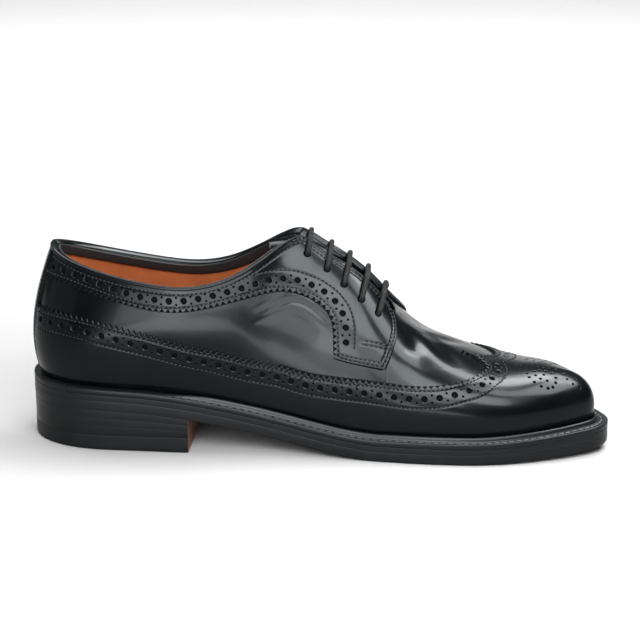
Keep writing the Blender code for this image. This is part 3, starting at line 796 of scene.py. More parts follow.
# A sheet on the pattern: border is its closed edge, insets are lines just inside it that give it
# a rounded rim, holes are (centre, radius), rows are stitch lines. Flat triangles between them all
# are carried to the leather and closed with walls and an underside.
def cutSheet(name, border, insets, holes, rows, replaced):
    look = sheetSizes
    flatPoints, links, start = [border], [], len(border)
    links.append(np.stack([np.arange(start), np.roll(np.arange(start), -1)], 1))
    for inset in insets:
        flatPoints.append(inset)
        k = np.arange(len(inset) - 1) + start
        links.append(np.stack([k, k + 1], 1))
        start += len(inset)
    centres = np.array([c for c, _ in holes])
    radii = np.array([r for _, r in holes])
    ringIndex, holeOf = [], []
    for big in (True, False):
        pick = np.flatnonzero((radii > look["bigFrom"]) == big)
        n = 16 if big else 9
        for extra in (0.0, look["bevel"] if big else look["smallBevel"]):
            rings = ringsRound(centres[pick], radii[pick] + extra, n)
            flatPoints.append(rings.reshape(-1, 2))
            k = np.arange(len(pick) * n).reshape(len(pick), n) + start
            links.append(np.stack([k, np.roll(k, -1, 1)], -1).reshape(-1, 2))
            if extra == 0.0:
                ringIndex.append(k.ravel())
                holeOf.append(np.repeat(pick, n))
            start += len(pick) * n
    ringIndex, holeOf = np.concatenate(ringIndex), np.concatenate(holeOf)
    marks = np.concatenate(flatPoints + [centres])
    w = look["grooveWidth"]
    for row in rows:
        along = unit(np.gradient(lastPoint(row), axis=0))
        across = np.cross(tangents(row)[2], along)
        for off in (0.0, 0.9 * w, -0.9 * w, 2.1 * w, -2.1 * w):
            line = row if off == 0 else march(row, across, off)
            line = line[farFrom(line, marks, 0.4)]
            flatPoints.append(line[clearOf(line, centres, radii + 0.7)])
    marks = np.concatenate(flatPoints + [centres])
    g = look["grain"]
    gx, gy = np.meshgrid(np.arange(0, 352, g), np.arange(-62, 62, g * 0.87))
    gx = gx + np.where(np.arange(len(gx)) % 2 == 1, g / 2, 0)[:, None]
    grid = np.stack([gx.ravel(), gy.ravel()], -1)
    low, high = border.min(0), border.max(0)
    grid = grid[((grid > low) & (grid < high)).all(1)]
    grid = grid[farFrom(grid, marks, 0.6)]
    flatPoints.append(grid[clearOf(grid, centres, radii + 0.3)])
    allFlat = np.concatenate(flatPoints)
    made = delaunay_2d_cdt([Vector(p) for p in allFlat.tolist()], np.concatenate(links).tolist(), [], 1, 1e-6)
    xy = np.array([tuple(v) for v in made[0]])
    faces = np.array(made[2])
    origin = np.array([o[0] if o else -1 for o in made[3]])
    # rim points by kind
    hole = np.full(len(allFlat), -1)
    hole[ringIndex] = holeOf
    hole = np.where(origin >= 0, hole[origin], -1)
    a, b, c = hole[faces].T
    faces = faces[~((a >= 0) & (a == b) & (a == c))]
    area = np.cross(xy[faces[:, 1]] - xy[faces[:, 0]], xy[faces[:, 2]] - xy[faces[:, 0]])
    faces = np.where((area < 0)[:, None], faces[:, ::-1], faces)
    p, n = skin(xy)
    lines3 = [skin(row)[0] for row in rows]
    push, slope = groovePush(p, lines3)
    slope = slope - n * (slope * n).sum(-1, keepdims=True)
    shade = unit(n - slope)
    first, back = weldIndex(p)
    faces = back[faces]
    faces = faces[whole(faces)]
    used, faces = np.unique(faces, return_inverse=True)
    faces = faces.reshape(-1, 3)
    pick = first[used]
    p, n, shade, push, hole = p[pick], n[pick], shade[pick], push[pick], hole[pick]
    # open edges of the flat mesh: used by one triangle only
    half = np.concatenate([faces[:, [0, 1]], faces[:, [1, 2]], faces[:, [2, 0]]])
    code = half[:, 0] * np.int64(len(p)) + half[:, 1]
    back = half[:, 1] * np.int64(len(p)) + half[:, 0]
    rim = half[~np.isin(code, back)]
    # rim points lean over the edge: away from the sheet, across the edge direction
    lean = np.zeros_like(p)
    across = np.cross(unit(p[rim[:, 1]] - p[rim[:, 0]]), n[rim[:, 0]])
    np.add.at(lean, rim[:, 0], across)
    np.add.at(lean, rim[:, 1], across)
    isRim = np.zeros(len(p), bool)
    isRim[rim.ravel()] = True
    lean = unit(lean)
    small = (hole >= 0) & (radii[hole] < look["bigFrom"])
    lift = look["top"] + push - np.where(isRim, np.where(small, look["smallChamfer"], look["chamfer"]), 0)
    shade = np.where(isRim[:, None], unit(n + lean * 1.1), shade)
    top = p + n * lift[:, None]
    count = len(p)
    rimIndex = np.full(count, -1)
    rimIndex[isRim] = np.arange(isRim.sum()) + 2 * count
    bottom = p + n * look["bottom"]
    wall = (p + n * (look["bottom"] - 0.02))[isRim]
    a, b = rim[:, 0], rim[:, 1]
    walls = np.concatenate([np.stack([a, rimIndex[a], rimIndex[b]], 1), np.stack([a, rimIndex[b], b], 1)])
    points = np.concatenate([top, bottom, wall])
    allFaces = np.concatenate([faces, faces[:, ::-1] + count, walls])
    normals = np.concatenate([shade, -n, unit(lean[isRim] + n[isRim] * 0.05)])
    # each hole later gets a painted-shade black disc
    punched.append((centres, radii))
    for row in rows:
        sewLine(row, look["top"] - look["groove"] + 0.14)
    # cut walls in the painted-shade black: the raw dyed hide, made darker to draw a shade line along each
    # edge
    kinds = np.concatenate([np.zeros(2 * len(faces)), np.ones(len(walls))])
    addPiece(name, points, allFaces, calf, replaced, normals=normals, weld=False,
             second=([paintedShadeBlack], kinds))


# pinked edge: triangle wave of the tooth pitch along u, its depth from 0 at the tips
def toothEdge(length):
    pitch, depth = sheetSizes["toothPitch"], sheetSizes["toothDepth"]
    teeth = int(round(length / pitch))
    u = np.linspace(0, length, teeth * 6 + 1)
    wave = np.abs(((u / length * teeth) % 1.0) - 0.5) * 2
    return u, depth * (1 - np.clip(wave * 1.06 - 0.03, 0, 1))


# punched row v mm in from the edge (a number, or v by station): big holes a pitch apart, with
# pairs of small ones between them
def punchRow(band, start, end, v, pitch, big, small, apart):
    fine = np.linspace(start, end, 500)
    station = onBand(band, fine, np.zeros(500))[:, 0] / pattern["along"]
    inset = np.interp(station, *v) if isinstance(v, tuple) else np.full(500, v)
    run = runOf(lastPoint(onBand(band, fine, inset)))
    count = int(round(run[-1] / pitch))
    at = np.linspace(0, run[-1], 2 * count + 1)
    u, between = np.interp(at[::2], run, fine), np.interp(at[1::2], run, fine)
    rows = [(onBand(band, u, np.interp(u, fine, inset)), big)]
    for off in (-apart / 2, apart / 2):
        rows.append((onBand(band, between, np.interp(between, fine, inset) + off), small))
    return [(c, r) for centres, r in rows for c in centres]


# Long wing: edge as station and height, peak on the ridge, band of stitches and holes, toe medallion
wingShape = dict(
    edge=[(0.036, 0.564), (0.09, 0.601), (0.15, 0.615), (0.20, 0.592), (0.25, 0.555), (0.30, 0.486),
          (0.35, 0.414), (0.40, 0.330), (0.44, 0.265), (0.48, 0.229), (0.52, 0.239), (0.57, 0.267),
          (0.62, 0.320), (0.66, 0.374), (0.70, 0.442), (0.726, 0.512), (0.752, 0.613), (0.768, 0.709),
          (0.778, 0.788), (0.781, 0.855), (0.776, 0.915), (0.766, 0.958), (0.753, 0.984), (0.738, 1.0)],
    start=0.036, rowNear=0.9, rowFar=11.6, holeAt=7.0, holePitch=7.9, bigHole=1.45, smallHole=0.55,
    pairApart=3.7, footLift=0.6, shadeFrom=0.45, shadeShort=5.0, bandWide=13.0, medallionX=272)

# medallion: mm ahead of its middle and off the ridge, radius
medallion = [(-13, 2.4, 0.5), (-10.5, 2.2, 0.5), (-7.5, 2.2, 0.5), (-4.5, 2.2, 0.5), (-2, 2.2, 0.5),
             (1, 2.2, 0.5), (4, 2.2, 0.5), (7.5, 2.2, 0.5), (-7.5, 10, 0.8), (-6.5, 13, 0.8),
             (-4, 15.5, 0.8), (-0.5, 16.5, 0.8), (3, 16, 0.8), (5.5, 14.5, 0.8), (7, 11.8, 0.8),
             (7.2, 9, 0.8), (5, 6.5, 0.75), (2, 5.8, 0.75),
             (-0.8, 6, 0.75), (-3.6, 7.6, 0.75), (-3.2, 10.8, 0.75), (-0.8, 12.4, 0.75), (2.6, 12.6, 0.75),
             (1, 9.2, 0.75), (11.5, 4.5, 0.65), (13, 7.2, 0.65), (17, 4.8, 0.65), (16, 8, 0.65),
             (19.2, 7.4, 0.65)]


# places on the pattern that stand over plan points, by Newton steps
def overPlan(side, plan):
    xy = np.tile(flat(side, 0.93, 0.90), (len(plan), 1))
    for _ in range(40):
        dx, dy, _ = tangents(xy)
        miss = plan - lastPoint(xy)[:, :2]
        det = dx[:, 0] * dy[:, 1] - dx[:, 1] * dy[:, 0]
        move = np.stack([dy[:, 1] * miss[:, 0] - dy[:, 0] * miss[:, 1],
                         dx[:, 0] * miss[:, 1] - dx[:, 1] * miss[:, 0]], -1) / det[:, None]
        xy = xy + np.clip(move * 0.6, -4, 4)
        xy[:, 0] = np.clip(xy[:, 0], 200, pattern["along"] - 0.3)
        xy[:, 1] = side * np.clip(side * xy[:, 1], 0.2, 58)
    return xy


# 0 at the heel, 1 from the waist on, a smooth step between
def beadShare(s):
    k = np.clip((s - 0.25) / 0.11, 0, 1)
    return k * k * (3 - 2 * k)


# border: foot line round the toe, then the pinked edges from heel to peak
def buildWing():
    look = wingShape
    holes, rows, edgeLines, insetLines, feet = [], [], {}, {}, {}
    for side in (inner, outer):
        st = np.array(look["edge"])
        line = smoothLine(flat(side, st[:, 0], st[:, 1]), 900)
        band = bandBeside(line, look["bandWide"], side)
        length = band["run"][-1]
        u, v = toothEdge(length)
        v = v * np.clip((length - u) / 3, 0, 1)
        edgeLine = onBand(band, u, v)
        soft = np.clip(np.minimum(u, length - u) / 1.5, 0, 1)
        insetLine = onBand(band, u, v + sheetSizes["bevel"] * soft)
        edgeLine[-1], insetLine[-1] = line[-1], line[-1]
        edgeLine[:, 1] = side * np.maximum(side * edgeLine[:, 1], 0)
        insetLine[:, 1] = side * np.maximum(side * insetLine[:, 1], 0)
        edgeLines[side], insetLines[side] = edgeLine, insetLine
        # painted shade: a matt black strip under the wing's pinked edge darkens the gaps between its teeth
        vampFrom = np.interp(look["shadeFrom"] * pattern["along"], line[:600, 0], band["run"][:600])
        shadeStripUnder(band, vampFrom, length - look["shadeShort"], -sheetSizes["shadeInside"],
                 sheetSizes["shadeWide"])
        for v0 in (look["rowNear"] + sheetSizes["toothDepth"], look["rowFar"]):
            row = rowOn(band, 1.5, length, v0)
            rows.append(row[side * row[:, 1] > 0.6])
        made = punchRow(band, 5.0, length - 6.0, look["holeAt"], look["holePitch"], look["bigHole"],
                        look["smallHole"], look["pairApart"])
        holes += [(c, r) for c, r in made if side * c[1] > 3.0]
        dots = np.array(medallion)
        planX = look["medallionX"] + dots[:, 0]
        plan = np.stack([planX, tableAt("middle", planX) + side * dots[:, 1]], -1)
        holes += list(zip(overPlan(side, plan), dots[:, 2]))
        s = np.concatenate([np.linspace(look["start"], 0.88, 190), np.linspace(0.88, 1, 40)[1:]])
        feet[side] = flat(side, s, liftAbove(side, s, look["footLift"]))
    edgeT = np.abs(feet[inner][-1, 1])
    toe = np.stack([np.full(41, pattern["along"]), np.linspace(-edgeT, edgeT, 41)], -1)
    feet[outer][-1, 1] = edgeT
    rise = np.linspace(0, 1, 12)[1:-1, None]
    heelOuter = feet[outer][0] + (edgeLines[outer][0] - feet[outer][0]) * rise
    heelInner = edgeLines[inner][0] + (feet[inner][0] - edgeLines[inner][0]) * rise
    border = np.concatenate([feet[inner], toe[1:-1], feet[outer][::-1], heelOuter, edgeLines[outer],
                             edgeLines[inner][-2::-1], heelInner])
    insets = [insetLines[side][1:-1] for side in (inner, outer)]
    cutSheet("wing_calf", border, insets, holes, rows, ["wing"])


# Facing with its collar band: lower pinked edge, plain bottom, front and throat edges
facingShape = dict(
    lines=[(0.036, 0.779, 0.036, 1.0), (0.100, 0.819, 0.100, 1.0), (0.180, 0.796, 0.180, 1.0),
           (0.250, 0.774, 0.250, 1.0), (0.320, 0.790, 0.320, 1.0), (0.388, 0.774, 0.384, 1.0),
           (0.420, 0.719, 0.418, 1.0), (0.448, 0.631, 0.450, 1.0), (0.470, 0.578, 0.484, 1.0),
           (0.488, 0.558, 0.515, 1.0), (0.504, 0.544, 0.545, 1.0), (0.516, 0.525, 0.573, 1.0),
           (0.524, 0.497, 0.595, 0.951), (0.529, 0.447, 0.610, 0.889), (0.531, 0.384, 0.620, 0.832),
           (0.533, 0.326, 0.626, 0.737), (0.563, 0.334, 0.626, 0.627), (0.590, 0.355, 0.621, 0.494),
           (0.614, 0.385, 0.614, 0.385)],
    cornerRow=15, topHeight=0.993, rowNear=0.9, rowFar=11.5, rowFarFrom=0.415,
    holeAt=((0.40, 0.45), (6.3, 7.1)), holePitch=7.7, bigHole=1.45, smallHole=0.55, pairApart=3.6,
    edgeRows=(1.3, 3.0), collarRow=3.1, collarFrom=0.45, barStations=(0.576, 0.594, 0.612),
    barHeights=(0.445, 0.478, 0.512), barApart=0.022, bandWide=14.0, frontWide=8.0, bottomWide=6.0,
    eyelets=[(0.477, 0.821), (0.511, 0.756), (0.540, 0.719), (0.568, 0.698), (0.595, 0.703)],
    eyeletRadius=1.75)


# border: pinked lower edge, plain bottom, front and collar edge, heel
def buildFacing(side, name, replaced):
    look = facingShape
    lines = np.array(look["lines"])
    corner = look["cornerRow"]
    low = smoothLine(flat(side, lines[:corner + 1, 0], lines[:corner + 1, 1]), 700)
    bottom = smoothLine(flat(side, lines[corner:, 0], lines[corner:, 1]), 80)
    row = np.arange(len(lines), dtype=float)
    fine = spline(row, lines[:, 2:], np.linspace(0, row[-1], 900))
    highT = np.minimum(fine[:, 1], openTop(side, fine[:, 0])) * look["topHeight"]
    highT = np.minimum(highT, look["topHeight"])
    highT[-1] = lines[-1, 3]
    front = smoothLine(flat(side, fine[:, 0], highT)[::-1][::6], 700)
    band = bandBeside(low, look["bandWide"], -side)
    frontBand = bandBeside(front, look["frontWide"], -side)
    bottomBand = bandBeside(bottom, look["bottomWide"], -side)
    length, frontLength, bottomLength = [b["run"][-1] for b in (band, frontBand, bottomBand)]
    u, v = toothEdge(length)
    edgeLine = onBand(band, u, v)
    soft = np.clip(np.minimum(u, length - u) / 1.5, 0, 1)
    insetLine = onBand(band, u, v + sheetSizes["bevel"] * soft)
    # painted shade: matt black strips under the pinked edge darken the gaps between its teeth; at the bottom
    # and front edges they reach out past the edge as a dark shade line
    shadeStripUnder(band, 1.0, length - 1.0, -sheetSizes["shadeInside"], sheetSizes["shadeWide"])
    shadeStripUnder(bottomBand, 1.0, bottomLength - 0.5, sheetSizes["shadeOutside"], sheetSizes["plainWide"])
    shadeStripUnder(frontBand, 1.0, frontLength * 0.24, sheetSizes["shadeOutside"], sheetSizes["plainWide"])
    farStart = np.interp(look["rowFarFrom"] * pattern["along"], low[:, 0], band["run"])
    collarStart = np.interp(look["collarFrom"] * pattern["along"], front[::-1, 0], frontBand["run"][::-1])
    rows = [rowOn(band, 1.5, length - 0.8, look["rowNear"] + sheetSizes["toothDepth"]),
            rowOn(band, farStart, length - 4.5, look["rowFar"])]
    for v0 in look["edgeRows"]:
        rows.append(rowOn(frontBand, v0 + 0.6, collarStart, v0))
        rows.append(rowOn(bottomBand, 2.0, bottomLength - v0 - 0.6, v0))
    rows.append(rowOn(frontBand, collarStart, frontLength - 1.5, look["collarRow"]))
    for shiftUp in (0.0, look["barApart"]):
        heights = np.array(look["barHeights"]) + shiftUp
        rows.append(smoothLine(flat(side, look["barStations"], heights), 20))
    holes = punchRow(band, 6.0, length - 8.0, look["holeAt"], look["holePitch"], look["bigHole"],
                     look["smallHole"], look["pairApart"])
    holes += [(flat(side, s, t), look["eyeletRadius"]) for s, t in look["eyelets"]]
    heel = front[-1] + (low[0] - front[-1]) * np.linspace(0, 1, 8)[1:-1, None]
    border = np.concatenate([edgeLine, bottom[1:-1:2], front, heel])
    bottomInset = onBand(bottomBand, np.linspace(1.0, bottomLength - 0.5, 50), sheetSizes["bevel"])
    frontInset = onBand(frontBand, np.linspace(1.0, frontLength - 1.0, 420), sheetSizes["bevel"])
    cutSheet(name, border, [insetLine[1:-1], bottomInset, frontInset], holes, rows,
             [replaced])


# Vamp and quarters: the skin over the last up to the open edge, a wall of calf 1.1 thick
upperShape = dict(stations=280, heights=(12, 36, 14), fineFrom=0.38, fineTo=0.78, wall=1.1)
turnStations = [0.46, 0.614, 0.6181]      # where the open edge turns


# ribs of both sides, height shared out closer in the creased band
def buildUpper():
    look = upperShape
    s = np.unique(np.concatenate([np.linspace(0, 1, look["stations"]), turnStations]))
    ends = [0, look["fineFrom"], look["fineTo"], 1]
    stretches = zip(ends, ends[1:], look["heights"])
    share = np.unique(np.concatenate([np.linspace(*stretch) for stretch in stretches]))
    parts = []
    for side in (inner, outer):
        t = openTop(side, s)[:, None] * share
        xy = flat(side, s[:, None], t)
        xy[..., 1] = side * np.maximum(np.abs(xy[..., 1]), 1e-6)
        p = rib(side, s[:, None], t)
        p = p + skin(xy)[1] * creasePush(p)[0][..., None]
        parts.append((p, gridFaces(len(s), len(share), side == outer)))
    points, faces = joined(parts)
    thicken(addPiece("upper_calf", points, faces, calf, ["upper"]), look["wall"])


# Lining: the last pulled in, tan, with a black collar band at its top
liningShape = dict(depth=1.25, wall=0.9, short=0.28, shortFrom=0.455, shortTo=0.70, ridgeFrom=0.68,
                   bandDepth=2.25, bandWide=6.0, bandThick=0.7, bandEnd=0.505, bandTop=0.992, bandWall=0.6)


# ribs of both sides less depth times the normal; the band lies parallel to the collar
def buildLining():
    look = liningShape
    s = np.unique(np.concatenate([np.linspace(0, 1, 150), turnStations]))
    share = np.linspace(0, 1, 30)
    parts = []
    for side in (inner, outer):
        # the lining stops short of the throat, where the tongue takes over
        short = (look["short"] * np.clip((s - look["shortFrom"]) / 0.03, 0, 1)
                 * np.clip((look["shortTo"] - s) / 0.04, 0, 1))
        t = (openTop(side, s) - short)[:, None] * share
        p = rib(side, s[:, None], t)
        n = outward(side, s[:, None], t)
        grid = p - n * look["depth"]
        ridge = s > look["ridgeFrom"]
        grid[ridge, -1, 1] = tableAt("middle", grid[ridge, -1, 0])
        parts.append((grid, gridFaces(len(s), len(share), side == outer)))
    points, faces = joined(parts)
    thicken(addPiece("lining_calf", points, faces, lining), look["wall"])
    # collar band: strips parallel to the collar, from its edge down, the lowest tucked in
    bandParts = []
    for side in (inner, outer):
        s = np.linspace(0.0, look["bandEnd"], 260)
        edge = flat(side, s, openTop(side, s) * look["bandTop"])
        band = bandBeside(edge, look["bandWide"], side)
        v = np.array([0.0, 1.0, 2.0, 3.0, 3.8, 4.6, 5.4, 5.8])
        drop = np.array([0, 0, 0, 0, 0, 0, 0.1, 0.6])
        xy = onBand(band, band["run"][:, None], v[None])
        p, n = lastPoint(xy), tangents(xy)[2]
        grid = p - n * (look["bandDepth"] + look["bandThick"] - drop)[None, :, None]
        if side == outer:
            grid = grid[::-1]
        bandParts.append((grid, gridFaces(*grid.shape[:2])))
        line = xy[:, 5]
        n = tangents(line)[2]
        seam = lastPoint(line) - n * (look["bandDepth"] + look["bandThick"] + 0.05)
        run = runOf(seam)
        at = np.arange(1.5, run[-1] - 1, threadSizes["pitch"])
        centre = readAt(at, run, seam)
        stitchRows.append((centre, unit(readAt(at + 0.5, run, seam) - centre), unit(-readAt(at, run, n))))
    points, faces = joined(bandParts)
    thicken(addPiece("collar_band_calf", points, faces[:, ::-1], calfMatt), look["bandWall"])


# Rolled edge along throat, collar and heel: a half round from the facing over to the lining
rollShape = dict(outerFace=1.72, innerFace=-2.75, rise=0.85, throatRise=0.3, leg=1.4, throatLeg=0.3)


# a half circle swept along the open edge, with a leg down each face
def buildRoll():
    look = rollShape
    s = np.concatenate([np.linspace(0.606, 0.44, 120), np.linspace(0.44, 0.0, 230)[1:]])
    paths = []
    for side in (inner, outer):
        t = openTop(side, s) * 0.995
        xy = flat(side, s, t)
        paths.append((lastPoint(xy), tangents(xy)[2]))
    p = np.concatenate([paths[0][0], paths[1][0][-2::-1]])
    n = np.concatenate([paths[0][1], paths[1][1][-2::-1]])
    st = np.concatenate([s, s[-2::-1]])
    mid = len(s) - 1
    n[mid - 2:mid + 3] = unit(np.array([-1.0, 0, 0.12]))
    for _ in range(3):
        n[1:-1] = unit(n[:-2] + 2 * n[1:-1] + n[2:])
    along = unit(np.gradient(p, axis=0))
    rise = np.cross(along, n)
    rise = unit(rise * np.where(rise[:, 2:3] < 0, -1, 1))
    collar = np.clip((0.47 - st) / 0.04, 0, 1)
    leg = look["throatLeg"] + (look["leg"] - look["throatLeg"]) * collar
    high = (look["throatRise"] + (look["rise"] - look["throatRise"]) * collar)[:, None]
    angle = np.linspace(0, np.pi, 13)
    centre, half = (look["outerFace"] + look["innerFace"]) / 2, (look["outerFace"] - look["innerFace"]) / 2
    side0 = np.concatenate([[look["outerFace"] - 0.5, look["outerFace"] + 0.15],
                            centre + (half + 0.25) * np.cos(angle),
                            [look["innerFace"] - 0.15, look["innerFace"] + 0.5]])
    upBase = np.concatenate([[0, 0], np.sin(angle), [0, 0]])
    down = np.concatenate([[1.0, 0.85], np.zeros(13), [0.85, 1.0]])
    grid = (p[:, None] + n[:, None] * side0[None, :, None]
            + rise[:, None] * (high * upBase[None] - leg[:, None] * down[None])[..., None])
    addPiece("rolled_edge_calf", grid.reshape(-1, 3), gridFaces(*grid.shape[:2], True), calf)


# Back strip over the heel seam, with a stitch row on each side
stripShape = dict(wide=0.0335, foot=0.8, top=0.985, lift=1.62, edgeLift=(1.5, 1.1), tuck=0.05,
                  stitchAt=0.0275, stitchLift=1.6, columns=12, rows=60)


# ribs next to the heel seam plus lift times the normal, lowered at the edge
def buildHeelStrip():
    look = stripShape
    columns, rows = look["columns"], look["rows"]
    parts = []
    for side in (inner, outer):
        s = np.linspace(0, look["wide"], columns)
        foot = liftAbove(side, s, look["foot"])
        t = foot[:, None] + (look["top"] - foot)[:, None] * np.linspace(0, 1, rows)
        p, n = rib(side, s[:, None], t), outward(side, s[:, None], t)
        n[0] = unit(n[0] * (1, 0, 1))
        lift = np.full(columns, look["lift"])
        lift[-2:] = look["edgeLift"]
        top = np.concatenate([p + n * lift[:, None, None], p[-1:] + n[-1:] * look["tuck"]])
        parts.append((top, gridFaces(columns + 1, rows, side == outer)))
        sewLine(flat(side, look["stitchAt"], t[-2])[2:-4], look["stitchLift"])
    points, faces = joined(parts)
    addPiece("heel_strip_calf", points, faces, calf, ["heel_strip"], sharp=50)


# Tongue under the throat, free end standing up behind the top lace
tongueShape = dict(root=0.630, sideHeight=0.66, depth=3.0, thick=2.0, edge=0.6, length=30.0, rise=0.45,
                   curl=0.0105,
                   end=[(0.0, 1.0), (0.2, 0.95), (0.4, 0.90), (0.6, 0.85), (0.8, 0.78), (0.93, 0.68),
                        (1.0, 0.54)])


# the last less depth, then a free end: a parabola in height, narrowed by the end table
def buildTongue():
    look = tongueShape
    s = np.linspace(look["root"], lastShape["ridgeStation"], 40)
    share = np.linspace(0, 1, 22)
    parts = []
    for side in (inner, outer):
        t = look["sideHeight"] + (1 - look["sideHeight"]) * share
        grid = rib(side, s[:, None], t) - outward(side, s[:, None], t) * look["depth"]
        grid[:, -1, 1] = tableAt("middle", grid[:, -1, 0])
        root = grid[-1]
        k = np.linspace(0, 1, 30)[1:]
        slim = spline(column(look["end"], 0), column(look["end"], 1), k)[:, None]
        back = (k * look["length"])[:, None]
        mid = tableAt("middle", root[-1, 0])
        x = root[None, :, 0] - back
        y = mid + (root[None, :, 1] - mid) * slim
        topZ = root[-1, 2] + look["rise"] * back - look["curl"] * back ** 2
        z = topZ + (root[None, :, 2] - root[-1, 2]) * slim
        grid = np.concatenate([grid, np.stack([x, y, z], -1)])[::-1]
        parts.append((grid, gridFaces(*grid.shape[:2], side == outer)))
    points, faces = joined(parts)
    piece = addPiece("tongue_calf", points, faces, calf, ["tongue"])
    thicken(piece, look["thick"])
    edge = piece.modifiers.new("edge", "BEVEL")
    edge.width, edge.segments, edge.limit_method, edge.angle_limit = look["edge"] * mm, 2, "ANGLE", 1.0


# Laces: a round cord from inside one eyelet over both facings into the other eyelet
laceShape = dict(radius=1.45, sag=0.6, lift=1.75, dive=3.4, around=14, along=90)


# circles swept along a smooth route: down an eyelet, over the throat, down the other
def buildLaces():
    look = laceShape
    for number, (s, eye) in enumerate(facingShape["eyelets"], 1):
        halves = []
        for side in (inner, outer):
            top = float(openTop(side, np.array([s]))[0])
            t = np.linspace(eye, top, 7)
            xy = flat(side, s, t)
            p, n = lastPoint(xy), tangents(xy)[2]
            off = look["lift"] + look["radius"] * np.array([0.45, 0.9, 1.0, 1.0, 1.0, 0.9, 0.35])
            over = p + n * off[:, None]
            back = unit(p[0] - p[1])
            dive = [p[0] + back * 0.3 - n[0] * look["dive"], p[0] + back * 0.35 + n[0] * 0.2]
            halves.append(np.vstack([dive, over]))
        middle = (halves[0][-1] + halves[1][-1]) / 2 - up * look["sag"]
        route = np.vstack([halves[0], middle, halves[1][::-1]])
        path = smoothLine(route, look["along"])
        along = unit(np.gradient(path, axis=0))
        a = unit(np.cross(along, np.array([1.0, 0.0, 0.0]) + 0 * along))
        b = np.cross(along, a)
        angle = np.linspace(0, 2 * np.pi, look["around"] + 1)
        ring = a[:, None] * np.cos(angle)[None, :, None] + b[:, None] * np.sin(angle)[None, :, None]
        grid = path[:, None] + ring * look["radius"]
        uv = np.stack(np.broadcast_arrays(runOf(path)[:, None], angle[None] * look["radius"]), -1)
        addPiece("lace_cord_%d" % number, grid.reshape(-1, 3), gridFaces(*grid.shape[:2], True), laceCotton,
                 ["lace_bar_%d" % number], uv=uv.reshape(-1, 2))


# plan points at a height over the underside
def overSole(plan, height):
    return np.concatenate([plan, (underside(plan[..., 0]) + height)[..., None]], -1)


# Round the sole: a section carried along both sides of the sole edge. Its rows are inset from the
# edge and height over the underside, or over the floor where the layer is level
def roundSole(section, ends, level, count=420):
    inset, height = np.array(section).T
    sides = []
    for side in (inner, outer):
        p, out = soleEdge(side, np.linspace(0, ends[side], count))
        plan = p[:, None] - out[:, None] * inset[:, None]
        floor = np.broadcast_to(height, plan.shape[:2])
        sides.append(np.concatenate([plan, floor[..., None]], -1) if level else overSole(plan, height))
    return sides


# caps: straight lines across between the two sides of a ring
def acrossSole(left, right, across):
    w = np.linspace(0, 1, across + 1)[None, :, None]
    return left[:, None] * (1 - w) + right[:, None] * w


# uv of an edge: length run along it, minus on the outer side, and depth
def edgeUv(side, run, depth):
    return np.stack(np.broadcast_arrays((run * -side)[:, None], depth), -1)


# a layer of the sole: walls from the section, top and bottom caps, heel breast where it ends short
def soleLayer(name, section, material, replaced, bottomMaterial=None, ends=None, level=False):
    left, right = roundSole(section, ends or {inner: 1, outer: 1}, level)
    height = column(section, 1)
    below = 0 if bottomMaterial is None else 1
    sheets = [(grid, edgeUv(side, runOf(grid[:, 0]), runOf(np.array(section))), side == inner, 0)
              for side, grid in ((inner, left), (outer, right))]
    for index, flip, number in ((0, False, 0), (-1, True, below)):
        grid = acrossSole(left[:, index], right[:, index], 24)
        grid = grid if level else overSole(grid[..., :2], height[index])
        sheets.append((grid, grid[..., :2], flip, number))
    if ends is not None:
        grid = acrossSole(left[-1], right[-1], 24)
        grid = grid if level else overSole(grid[..., :2], height[:, None])
        sheets.append((grid, grid[..., 1:], False, below))
    points, faces, uv, numbers = joinedSheets(sheets)
    addPiece(name, points, faces, material, replaced, uv=uv, sharp=35,
             second=None if bottomMaterial is None else ([bottomMaterial], numbers))


# section of an edge: quarter rounds at top and bottom, a parabola of belly between them
def edgeSection(low, high, inset, roundTop, roundLow, belly):
    turn = np.linspace(0, np.pi / 2, 5)
    mid, span = (high + low) / 2, (high - low) / 2
    heights = np.linspace(high - roundTop, low + roundLow, 9)[1:-1]
    rows = [(inset + roundTop, high)]
    rows += [(inset + roundTop * (1 - np.sin(k)), high - roundTop * (1 - np.cos(k))) for k in turn[1:]]
    rows += [(inset - belly * (1 - ((z - mid) / span) ** 2), z) for z in heights]
    rows += [(inset + roundLow * (1 - np.cos(k)), low + roundLow * (1 - np.sin(k))) for k in turn]
    return rows


# two layers of the same outline, one over the other
def buildSole():
    t = soleLayers
    outsole = edgeSection(0, t["outsole"] + 0.15, 0.0, 0.10, 0.35, 0.10)
    soleLayer("outsole_leather", outsole, edgeInk, ["outsole"], soleNatural)
    low = t["outsole"] + t["gap"]
    midsole = edgeSection(low - 0.17, low + t["midsole"] + 0.15, 0.02, 0.1, 0.1, 0.05)
    soleLayer("midsole_leather", midsole, edgeInk, ["midsole"])


# Heel: stacked lifts with scored seams, natural breast, rubber top piece
heelShape = dict(breastX=87.5, topPiece=8.4, inset=0.12)


